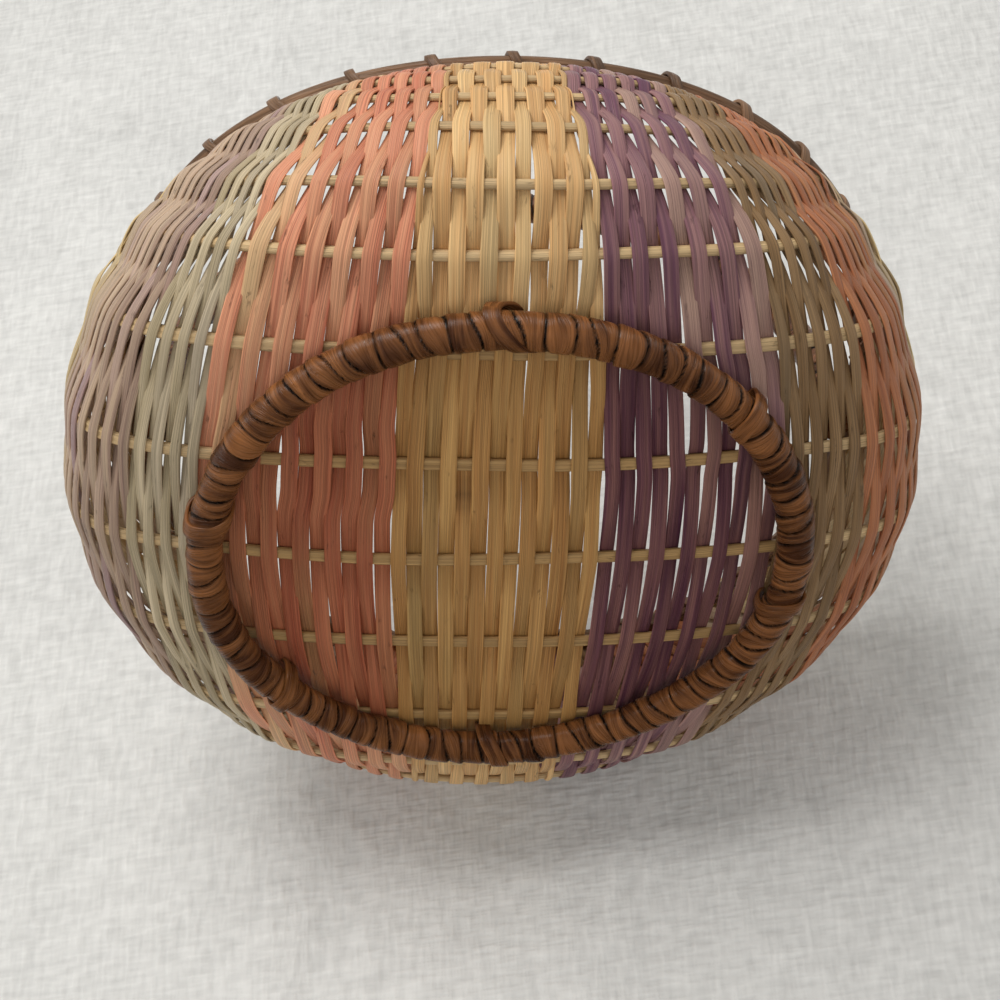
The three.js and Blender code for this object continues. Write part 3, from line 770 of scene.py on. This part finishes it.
def rim_lashing(name, start):
    """Fifteen loops round both hoops, on the rim between two bays for the handle. The
    angle gains one pitch a loop, mostly inside, by x + 0.127 * sin(2 pi x). Slack lifts
    the peel 0.2 mm off the canes, and more by chance."""
    x = np.linspace(0, LASHES, LASHES * LASH_STEPS + 1)
    slack = 0.2 + 0.2 * np.abs(wander(1, x / LASHES, 40, 1.0)[0])
    half, middle = (OUTER_FACE - INNER_FACE) / 2, (OUTER_FACE + INNER_FACE) / 2
    across, up, out_a, out_u = square_loop(0.5 - x, half + 0.5 + slack, 2.7 + slack, 0.8)
    gained = x + 0.127 * np.sin(2 * np.pi * x)
    angle = start + (math.pi - 2 * BAY) * gained / LASHES

    def at(lift):
        along = HOOP_MIDDLE + up + out_u * lift
        u, v = along * np.cos(angle), along * np.sin(angle)
        return bowl(u, v, middle + across + out_a * lift)[0]

    return peel(name, at(0.0), at(1.0) - at(0.0), 2.8, 0.95, 20)


lashings = [
    rim_lashing("peel_lashing_back", BAY),
    rim_lashing("peel_lashing_front", math.pi + BAY),
]

# %% The handle's bindings
BIND_TURNS = 3
BIND_PITCH = 3.2
BIND_SLANT = math.radians(45)
BIND_CLEAR = 0.9


def leg_binding(name, side):
    """Three slanting turns round a handle leg and both hoops: a squared loop in the
    plane that is tilted by BIND_SLANT, which moves on by BIND_PITCH a turn."""
    outer, inner = RIM_RADIUS + OUTER_FACE, leg - HANDLE
    shift = BIND_TURNS * BIND_PITCH / 2
    half_wide = (outer - inner) / 2 + BIND_CLEAR
    half_high = HANDLE / math.cos(BIND_SLANT) + shift + BIND_CLEAR
    x = np.linspace(0, BIND_TURNS, BIND_TURNS * 60 + 1)
    rim_top = bowl(np.array(HOOP_MIDDLE), np.array(0.0), 0.0)[0][2]
    a, b, out_a, out_b = square_loop(x + 0.5, half_wide, half_high)
    along = BIND_PITCH * x - shift
    c, s = math.cos(BIND_SLANT), math.sin(BIND_SLANT)

    def at(lift):
        aside = side * ((outer + inner) / 2 + a + out_a * lift) + RIM_ASIDE
        length = b + out_b * lift
        return np.stack([aside, length * c - along * s, rim_top + length * s + along * c], axis=-1)

    return peel(name, at(0.0), at(1.0) - at(0.0), 2.9, 0.9, 40)


bindings = [leg_binding("peel_binding_left", -1), leg_binding("peel_binding_right", 1)]

# %% [markdown]
# The foot ring is tied to the base in six places. Each tie is a loop of peel round the
# ring, which goes up through the weave on both sides and across on the inside. The loop
# leans along the ring, and the first one, at the front, leans most.

# %% Ties of the foot ring
# Each tie goes up between two rods, so the angles come from the middles of their gaps.
TIE_STEPS = 60
TIE_HALF_WIDE = FOOT_WIDE + 0.5
TIE_LOW = 0.35
TIE_HIGH = float(np.interp(FOOT_RADIUS, ALONG, profile[:, 1])) + 2.0
gap_middles = np.array([(near[0] + near[1]) / 2, near[0] / 2])
tie_front, tie_back = np.arcsin(gap_middles / FOOT_RADIUS)
tie_angles = np.array([-math.pi / 2, -tie_front, tie_back])
tie_angles = np.r_[tie_angles, tie_angles + math.pi]


def foot_tie(index, angle):
    """A squared loop round the ring at an angle, which leans along the ring by
    1.2 * sin - lean * cos of the way round it."""
    first = index == 0
    x = np.linspace(0, 1, TIE_STEPS, endpoint=False)
    half_high = (TIE_HIGH - TIE_LOW) / 2
    a, b, out_a, out_b = square_loop(x, TIE_HALF_WIDE, half_high, 1.0 if first else 0.8)
    outward = np.array([math.cos(angle), math.sin(angle), 0.0])
    sideways = np.cross(UPWARD, outward)
    lean = 5.0 if first else 2.4
    skew = 1.2 * np.sin(2 * np.pi * x) - lean * np.cos(2 * np.pi * x)
    points = (
        outward * (foot_radius(angle) + a)[:, None]
        + UPWARD * ((TIE_HIGH + TIE_LOW) / 2 + b)[:, None]
        + sideways * skew[:, None]
    )
    out = outward * out_a[:, None] + UPWARD * out_b[:, None]
    return peel(f"peel_foot_tie_{index + 1}", points, out, 4.4, 0.9, 60 + 9 * index, closed=True)


ties = [foot_tie(index, angle) for index, angle in enumerate(tie_angles)]

# %% [markdown]
# ## Fibre, the effect that every finish shares
#
# Bamboo and rattan are bundles of fibre. Along a strip the colour hardly changes, and
# across it there are fine lines and broader bands. A noise that is stretched far along
# the strip gives both. The texture map is in millimetres, so the same group
# works on a strip 4 mm wide and on the handle's peel. The group is built once.

# %% Short ways to add nodes
def connect(tree, value, socket):
    """Link an output to the socket, or set the socket to a plain value."""
    if isinstance(value, bpy.types.NodeSocket):
        tree.links.new(value, socket)
    else:
        socket.default_value = value


def add(tree, kind, inputs=None, **settings):
    """A node of a kind, with its inputs set or linked by socket name or number."""
    node = tree.nodes.new(kind)
    for key, value in settings.items():
        setattr(node, key, value)
    for key, value in (inputs or {}).items():
        connect(tree, value, node.inputs[key])
    return node


def math_node(tree, operation, a, b=0.0, c=0.0):
    """One value from up to three."""
    return add(tree, "ShaderNodeMath", {0: a, 1: b, 2: c}, operation=operation).outputs[0]


def scale_add(tree, value, factor, plus):
    """value * factor + plus."""
    return math_node(tree, "MULTIPLY_ADD", value, factor, plus)


def ramp(tree, value, start, stop, at_start=0.0, at_stop=1.0):
    """A straight line from at_start, where value is start, to at_stop, held past both."""
    inputs = {0: value, 1: start, 2: stop, 3: at_start, 4: at_stop}
    return add(tree, "ShaderNodeMapRange", inputs).outputs[0]


def vector_node(tree, operation, a, b=(0.0, 0.0, 0.0), output="Vector"):
    """A vector, or a value where output says so, from up to two vectors."""
    node = add(tree, "ShaderNodeVectorMath", {0: a, 1: b}, operation=operation)
    return node.outputs[output]


def stretched_noise(tree, vector, stretch, detail):
    """Noise at vector * stretch: its grains are 1 / stretch long each way."""
    inputs = {"Vector": vector_node(tree, "MULTIPLY", vector, stretch), "Scale": 1.0, "Detail": detail}
    return add(tree, "ShaderNodeTexNoise", inputs).outputs[0]


def blend_colour(tree, share, a, b, mode="MIX"):
    """Colour a turned towards colour b by share. A Mix node's colours are its sockets 6
    and 7, and the mixed colour is its output 2."""
    inputs = {0: share, 6: a, 7: b}
    return add(tree, "ShaderNodeMix", inputs, data_type="RGBA", blend_type=mode).outputs[2]


def darkened(tree, colour, level):
    """The colour times a grey of that level."""
    grey = add(tree, "ShaderNodeCombineColor", {0: level, 1: level, 2: level}).outputs[0]
    return blend_colour(tree, 1.0, colour, grey, "MULTIPLY")


# %% The fibre group
def fibre_group():
    """Fibre: the lines, the broader bands, torn flecks and a height for bump."""
    tree = bpy.data.node_groups.new("fibre", "ShaderNodeTree")
    face = tree.interface
    face.new_socket("Vector", in_out="INPUT", socket_type="NodeSocketVector")
    for name in ("Line width", "Band width", "Length"):
        face.new_socket(name, in_out="INPUT", socket_type="NodeSocketFloat")
    for name in ("Lines", "Bands", "Flecks", "Height"):
        face.new_socket(name, in_out="OUTPUT", socket_type="NodeSocketFloat")
    inside = tree.nodes.new("NodeGroupInput").outputs
    outside = tree.nodes.new("NodeGroupOutput").inputs

    def noise(width, length, detail):
        across = math_node(tree, "DIVIDE", 1.0, width)
        along = math_node(tree, "DIVIDE", 1.0, length)
        stretch = add(tree, "ShaderNodeCombineXYZ", {0: across, 1: along, 2: 1.0}).outputs[0]
        return stretched_noise(tree, inside["Vector"], stretch, detail)

    lines = ramp(tree, noise(inside["Line width"], inside["Length"], 2.0), 0.36, 0.60)
    bands = ramp(tree, noise(inside["Band width"], inside["Length"], 1.0), 0.34, 0.66)
    patch = ramp(tree, noise(2.5, 9.0, 1.0), 0.64, 0.74)
    torn = ramp(tree, noise(0.5, 2.2, 3.0), 0.5, 0.62)
    flecks = math_node(tree, "MULTIPLY", patch, torn)
    height = scale_add(tree, lines, 0.6, math_node(tree, "MULTIPLY", bands, 0.4))
    height = scale_add(tree, flecks, -1.2, height)
    for name, value in (("Lines", lines), ("Bands", bands), ("Flecks", flecks), ("Height", height)):
        tree.links.new(value, outside[name])
    return tree


FIBRE = fibre_group()
print("the fibre group has", len(FIBRE.nodes), "nodes")


# %% A new material, its fibre and its bump
def new_finish(name):
    """A new material: its tree, its shader, its map and its two attributes."""
    material = bpy.data.materials.new(name)
    material.use_nodes = True
    tree = material.node_tree
    lay = add(tree, "ShaderNodeUVMap", uv_map="lay").outputs[0]
    tone = add(tree, "ShaderNodeAttribute", attribute_name="tone").outputs["Fac"]
    mark = add(tree, "ShaderNodeAttribute", attribute_name="mark").outputs["Fac"]
    return material, tree, tree.nodes["Principled BSDF"], lay, tone, mark


def fibres(tree, lay, line, band, length):
    """The fibre group placed in a material with its own widths in millimetres."""
    node = add(tree, "ShaderNodeGroup", node_tree=FIBRE)
    values = {"Vector": lay, "Line width": line, "Band width": band, "Length": length}
    for key, value in values.items():
        connect(tree, value, node.inputs[key])
    return node.outputs


def bump(tree, shader, height, distance, strength=1.0):
    """Height times distance, in millimetres, into the shader's normal."""
    inputs = {"Height": height, "Distance": distance * MM, "Strength": strength}
    tree.links.new(add(tree, "ShaderNodeBump", inputs).outputs[0], shader.inputs["Normal"])


# %% [markdown]
# ## Dyed bamboo
#
# Split bamboo keeps a satin surface. Each dye is written as a light and a dark colour
# that the fibre bands mix, and a faded one that shows where the mark says so. The tone
# attribute lightens or darkens a strip as a whole, the lines darken it finely and a painted
# highlight lightens its edges. Inside the foot ring it is darker: dirt and painted shade.

# %% The strips' material
BAMBOO_ROUGH = 0.46
# Under the base the colour is darkened, partly by dirt and partly as painted shade: what is left of
# red, green and blue, and the radii in metres where the darkening ends.
SOIL_AND_SHADE = (0.68, 0.58, 0.42)
SOIL_AND_SHADE_TO, SOIL_AND_SHADE_END = 0.072, 0.082


def painted_edge_highlight(tree, lay):
    """A painted highlight, 0.16 at a strip's edges and 0 inside. The place across a strip is
    the map's first coordinate less its whole multiples of MAP_PLOT, and the edge starts 1.55 mm out."""
    across = add(tree, "ShaderNodeSeparateXYZ", {0: lay}).outputs[0]
    moved = math_node(tree, "ADD", across, MAP_PLOT / 2)
    place = math_node(tree, "FLOORED_MODULO", moved, MAP_PLOT)
    aside = math_node(tree, "ABSOLUTE", math_node(tree, "SUBTRACT", place, MAP_PLOT / 2))
    return ramp(tree, aside, 1.55, 2.0, 0.0, 0.16)


def soiled_and_shaded(tree, colour, soil_and_shade):
    """The colour times the soil and shade factors within the first radius, in metres, of the
    basket's axis, fading to the plain colour at the second, just outside the foot ring's
    middle line. The darkening is partly dirt and partly painted shade."""
    place = add(tree, "ShaderNodeTexCoord").outputs["Object"]
    level = vector_node(tree, "MULTIPLY", place, (1, 1, 0))
    radius = vector_node(tree, "LENGTH", level, output="Value")
    share = ramp(tree, radius, SOIL_AND_SHADE_TO, SOIL_AND_SHADE_END, 1.0, 0.0)
    dirty_and_shaded = blend_colour(tree, 1.0, colour, (*soil_and_shade, 1), "MULTIPLY")
    return blend_colour(tree, share, colour, dirty_and_shaded)


def bamboo(name, light, dark, faded, fade=0.5, soil_and_shade=SOIL_AND_SHADE, line=0.22):
    """Dyed or plain split bamboo. fade is how far the faded colour can take over, line is
    the width of a fibre, and the soil and shade factors are what is left of red, green and
    blue under the base, where the colour is darkened partly by dirt and partly as painted shade."""
    material, tree, shader, lay, tone, mark = new_finish(name)
    grain = fibres(tree, lay, line, 1.5, 60.0)
    warm = math_node(tree, "MULTIPLY", ramp(tree, tone, -1.2, 1.2), 0.45)
    share = scale_add(tree, grain["Bands"], 0.55, warm)
    colour = blend_colour(tree, share, (*dark, 1), (*light, 1))
    broad = scale_add(tree, stretched_noise(tree, lay, (0.35, 0.02, 1.0), 2.0), 1.6, 0.2)
    share = math_node(tree, "MULTIPLY", ramp(tree, mark, 0.1, 1.5, 0.0, fade), broad)
    colour = blend_colour(tree, share, colour, (*faded, 1))
    level = scale_add(tree, tone, 0.07, ramp(tree, grain["Lines"], 0.0, 1.0, 0.70, 1.10))
    # Painted highlight: each strip is lighter along its edges.
    level = math_node(tree, "ADD", painted_edge_highlight(tree, lay), level)
    level = scale_add(tree, grain["Flecks"], -0.3, level)
    # Darker under the base: partly dirt, partly painted shade.
    colour = soiled_and_shaded(tree, darkened(tree, colour, level), soil_and_shade)
    tree.links.new(colour, shader.inputs["Base Color"])
    rough = scale_add(tree, grain["Lines"], 0.14, BAMBOO_ROUGH - 0.07)
    tree.links.new(rough, shader.inputs["Roughness"])
    shader.inputs["Specular IOR Level"].default_value = 0.3
    bump(tree, shader, grain["Height"], 0.14)
    return material


# %% The dyes: light, dark and faded colours, and how far they fade
# Where more values follow, they are the darkening under the base, partly dirt and partly
# painted shade, and the width of a fibre.
DYES = {
    "natural": ((0.77, 0.505, 0.23), (0.59, 0.31, 0.115), (0.61, 0.43, 0.205), 0.8),
    "pale": ((0.76, 0.60, 0.34), (0.58, 0.42, 0.20), (0.50, 0.36, 0.24), 1.0),
    "coral": ((0.74, 0.355, 0.20), (0.58, 0.18, 0.10), (0.64, 0.42, 0.215), 0.9, (0.62, 0.47, 0.38)),
    "green": ((0.64, 0.52, 0.34), (0.42, 0.33, 0.19), (0.40, 0.33, 0.24), 0.6),
    "mauve": ((0.60, 0.44, 0.29), (0.36, 0.23, 0.17), (0.34, 0.21, 0.23), 0.7),
    "purple": ((0.41, 0.22, 0.19), (0.125, 0.040, 0.085), (0.46, 0.29, 0.22), 0.8, (0.70, 0.57, 0.54)),
    # The right-hand green: a darker, browner copy of the green, painted as the shade on the basket's
    # right side.
    "green_shaded": ((0.34, 0.21, 0.100), (0.21, 0.115, 0.045), (0.17, 0.125, 0.075), 0.6),
    "coral_brown": ((0.49, 0.195, 0.085), (0.33, 0.108, 0.045), (0.46, 0.23, 0.10), 0.7),
    "rod": ((0.60, 0.43, 0.225), (0.46, 0.31, 0.155), (0.54, 0.38, 0.19), 0.5, (0.70, 0.60, 0.45), 0.3),
}
BAMBOOS = {dye: bamboo("bamboo_" + dye, *recipe) for dye, recipe in DYES.items()}
print("dyed and plain bamboo:", ", ".join(BAMBOOS))

# %% [markdown]
# ## Rattan peel
#
# The peel is brown and has a shine that bamboo lacks. The grooves between turns are
# painted darker as shade, so the backs of the turns stand out paler. The mark
# attribute says how deep in a groove a point lies.

# %% The rattan material
def rattan(name, light, dark, groove, rough):
    """Wound or flat rattan peel."""
    material, tree, shader, lay, tone, mark = new_finish(name)
    grain = fibres(tree, lay, 0.35, 1.7, 14.0)
    blotch = stretched_noise(tree, lay, (0.25, 0.06, 1.0), 3.0)
    share = scale_add(tree, tone, 0.35, scale_add(tree, grain["Bands"], 0.5, blotch))
    colour = blend_colour(tree, ramp(tree, share, 0.35, 1.15), (*dark, 1), (*light, 1))
    # Painted shade: the colour turns near black towards the bottom of each groove.
    colour = blend_colour(tree, ramp(tree, mark, 0.04, 0.55), colour, (*groove, 1))
    colour = darkened(tree, colour, ramp(tree, grain["Lines"], 0.0, 1.0, 0.75, 1.1))
    tree.links.new(colour, shader.inputs["Base Color"])
    rough = scale_add(tree, grain["Lines"], 0.16, rough - 0.06)
    tree.links.new(rough, shader.inputs["Roughness"])
    shader.inputs["Specular IOR Level"].default_value = 0.26
    shader.inputs["Coat Weight"].default_value = 0.08
    shader.inputs["Coat Roughness"].default_value = 0.2
    bump(tree, shader, grain["Height"], 0.22)
    return material


PEEL = rattan("rattan_peel", (0.27, 0.102, 0.030), (0.062, 0.019, 0.005), (0.008, 0.003, 0.001), 0.3)
CANE = rattan("rattan_rim", (0.25, 0.140, 0.075), (0.11, 0.058, 0.030), (0.04, 0.016, 0.008), 0.42)
print("rattan:", PEEL.name, CANE.name)

# %% [markdown]
# ## Each piece takes its finish and its place
#
# A piece rides on the CAD body that it belongs to, and says which CAD solids it stands
# for. This basket has no moving part, so all ride on the one body.

# %% Ride, replace and dress
def dress(piece, material, slot, *nodes):
    """Give a piece its material and its body, and hide its CAD solids. slot is not used."""
    piece.data.materials.append(material)
    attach(piece, "root")
    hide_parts(*nodes)


for name, (piece, dye) in strips.items():
    slot = "strips_" + name.split("_")[1]
    dress(piece, BAMBOOS[dye], slot, name)
for piece, name in zip(rods, ROD_NODES):
    dress(piece, BAMBOOS["rod"], "rods", name)
dress(foot, PEEL, "rattan", "foot_ring")
dress(handle, PEEL, "rattan", "handle")
dress(outer_hoop, CANE, "rattan", "rim_hoop_outer")
dress(inner_hoop, CANE, "rattan", "rim_hoop_inner")
for piece, name in zip(lashings, ("rim_lashing_back", "rim_lashing_front")):
    dress(piece, CANE, "rattan", name)
for piece, name in zip(bindings, ("handle_binding_left", "handle_binding_right")):
    dress(piece, PEEL, "rattan", name)
for index, piece in enumerate(ties):
    dress(piece, PEEL, "rattan", f"foot_tie_{index + 1}")
print(len(strips) + len(rods) + 4 + len(lashings) + len(bindings) + len(ties), "pieces dressed")

# %% [markdown]
# ## The stage
#
# The basket lies on its side on white cotton, so for the photograph's camera the cloth
# is a plane behind it. Other cameras look from above at a basket that stands on a pale
# floor. Both planes show only their front face, and from behind they are clear, so
# neither hides the basket. The floor shows only to the camera and in reflections, and
# so it keeps no light from the basket's underside.

# %% Planes that stay on the stage
def stage_plane(name, centre, normal, half, material):
    """A square that looks along normal, half a side long each way from its centre, with
    one side level."""
    normal = Vector(normal).normalized()
    level = (0.0, 1.0, 0.0) if abs(normal.z) > 0.9 else (0.0, 0.0, 1.0)
    side = normal.cross(level).normalized() * half
    other = normal.cross(side)
    signs = ((-1, -1), (1, -1), (1, 1), (-1, 1))
    corners = [Vector(centre) + side * a + other * b for a, b in signs]
    mesh = bpy.data.meshes.new(name)
    mesh.from_pydata([tuple(corner) for corner in corners], [], [(0, 1, 2, 3)])
    if mesh.polygons[0].normal.dot(normal) < 0:
        mesh.flip_normals()
    mesh.materials.append(material)
    obj = bpy.data.objects.new(name, mesh)
    bpy.context.scene.collection.objects.link(obj)
    print(f"{name}: a square of {2 * half:.2f} m")


def pale_rays(tree):
    """1 for rays from the camera, in a reflection or through glass, and 0 for the rest."""
    path = add(tree, "ShaderNodeLightPath").outputs
    reflected = math_node(tree, "MAXIMUM", path["Is Glossy Ray"], path["Is Transmission Ray"])
    return math_node(tree, "MAXIMUM", path["Is Camera Ray"], reflected)


# %% Cotton and floor
THREADS_ALONG, THREADS_ACROSS = 110.0, 520.0
THREAD_CONTRAST = 0.30


def one_sided(name, colour, weave_and_shade, all_rays):
    """A pale matt surface that is clear from behind, with broad creases. The third argument,
    from 0 to 1, is how much it shows of the threads, of painted light and shade on the
    creases and of a painted shade towards the lower right. With all_rays off it is clear
    for plain light, and only the camera and gloss see it."""
    material = bpy.data.materials.new(name)
    material.use_nodes = True
    tree = material.node_tree
    shader = tree.nodes["Principled BSDF"]
    shader.inputs["Roughness"].default_value = 0.9
    place = add(tree, "ShaderNodeTexCoord").outputs["Object"]
    creases = {"Vector": place, "Scale": 14.0, "Detail": 4.0, "Distortion": 0.8}
    creases = add(tree, "ShaderNodeTexNoise", creases).outputs[0]
    weft = stretched_noise(tree, place, (THREADS_ALONG, THREADS_ALONG, THREADS_ACROSS), 1.0)
    warp = stretched_noise(tree, place, (THREADS_ACROSS, THREADS_ALONG, THREADS_ALONG), 1.0)
    threads = math_node(tree, "MULTIPLY", math_node(tree, "ADD", weft, warp), weave_and_shade)
    # Painted light and shade on the creases: the colour lightens and darkens with them.
    level = ramp(tree, creases, 0.3, 0.7, 1.0 - 0.06 * weave_and_shade, 1.0 + 0.03 * weave_and_shade)
    weave_level = scale_add(tree, threads, THREAD_CONTRAST, -THREAD_CONTRAST * weave_and_shade)
    level = math_node(tree, "ADD", level, weave_level)
    # Painted shade: the colour darkens towards the lower right.
    lower_right = vector_node(tree, "DOT_PRODUCT", place, (0.7, 0.0, -0.7), output="Value")
    shade = ramp(tree, lower_right, 0.02, 0.20, 1.0, 1.0 - 0.2 * weave_and_shade)
    level = math_node(tree, "MULTIPLY", level, shade)
    tree.links.new(darkened(tree, (*colour, 1), level), shader.inputs["Base Color"])
    bump(tree, shader, scale_add(tree, threads, 0.09, creases), 1.0 + 10.0 * weave_and_shade, 0.6)
    hide = add(tree, "ShaderNodeNewGeometry").outputs["Backfacing"]
    if not all_rays:
        plain = math_node(tree, "SUBTRACT", 1.0, pale_rays(tree))
        hide = math_node(tree, "MAXIMUM", hide, plain)
    clear = tree.nodes.new("ShaderNodeBsdfTransparent")
    mix = add(tree, "ShaderNodeMixShader", {0: hide, 1: shader.outputs[0], 2: clear.outputs[0]})
    tree.links.new(mix.outputs[0], tree.nodes["Material Output"].inputs["Surface"])
    return material


# %% The two planes in place
# The cloth's plane is CLOTH_AWAY metres from the origin. Its middle is the point of the
# plane at CLOTH_HEIGHT, where normal . middle = -CLOTH_AWAY.
CLOTH_NORMAL = (-0.2, -0.957, -0.208)
CLOTH_AWAY, CLOTH_HEIGHT, CLOTH_HALF = 0.132, 0.18, 0.31
FLOOR_LEVEL, FLOOR_HALF = -0.0005, 3.0
cloth_back = -(CLOTH_AWAY + CLOTH_NORMAL[2] * CLOTH_HEIGHT) / CLOTH_NORMAL[1]
cotton = one_sided("cotton", (0.70, 0.69, 0.655), 1.0, True)
pale_floor = one_sided("pale_floor", (0.80, 0.80, 0.79), 0.0, False)
stage_plane("cloth", (0.0, cloth_back, CLOTH_HEIGHT), CLOTH_NORMAL, CLOTH_HALF, cotton)
stage_plane("floor", (0.0, 0.0, FLOOR_LEVEL), (0.0, 0.0, 1.0), FLOOR_HALF, pale_floor)

# %% [markdown]
# ## Camera and light
#
# The camera looks at the base from below, 42 degrees off the basket's axis, and is
# turned 4 degrees about its own axis. Its place was found by fitting the bowl's outline,
# the foot ring and the rim to the photograph. The main light is a wide soft lamp above
# and a little to the left in the picture, and the world gives an even fill.

# %% Camera
camera_data = bpy.data.cameras.new("camera")
camera_data.lens = 72.0
camera_data.sensor_width = 36.0
camera_data.clip_end = 50.0
camera = bpy.data.objects.new("camera", camera_data)
right = Vector((0.99826825, -0.0357246, -0.04673599))
up = Vector((0.00486852, -0.74157939, 0.67084746))
back = right.cross(up)
place = Vector((-0.03115601, -0.36630874, -0.37553859))
camera.matrix_world = Matrix.Translation(place) @ Matrix((right, up, back)).transposed().to_4x4()
bpy.context.scene.collection.objects.link(camera)
bpy.context.scene.camera = camera
roll = math.degrees(right.angle(Vector((-back.y, back.x, 0))))
print(f"{math.degrees(back.angle(Vector((0, 0, -1)))):.0f} degrees off the axis, turned {roll:.0f}")


# %% Lamps and world
def lamp(name, toward, distance, size, watts):
    """A square soft lamp that shines at the basket's middle from a direction."""
    data = bpy.data.lights.new(name, "AREA")
    data.size = size
    data.energy = watts
    obj = bpy.data.objects.new(name, data)
    toward = Vector(toward).normalized()
    stand = Matrix.Translation(Vector((0, 0, 0.05)) + toward * distance)
    obj.matrix_world = stand @ toward.to_track_quat("Z", "Y").to_matrix().to_4x4()
    bpy.context.scene.collection.objects.link(obj)
    print(f"{name}: {watts} W at {distance} m")


lamp("main_lamp", (-0.38, -0.90, 0.0), 1.3, 0.7, 11.5)
lamp("lower_lamp", (-0.15, -0.5, -1.0), 1.6, 1.4, 3.5)
lamp("upper_lamp", (0.35, 0.5, 1.0), 1.5, 1.2, 6.0)

world = bpy.data.worlds.new("world")
world.use_nodes = True
tree = world.node_tree
sky = blend_colour(tree, pale_rays(tree), (0.50, 0.50, 0.50, 1), (0.86, 0.86, 0.85, 1))
tree.links.new(sky, tree.nodes["Background"].inputs["Color"])
bpy.context.scene.world = world
bpy.context.scene.view_settings.view_transform = "Standard"
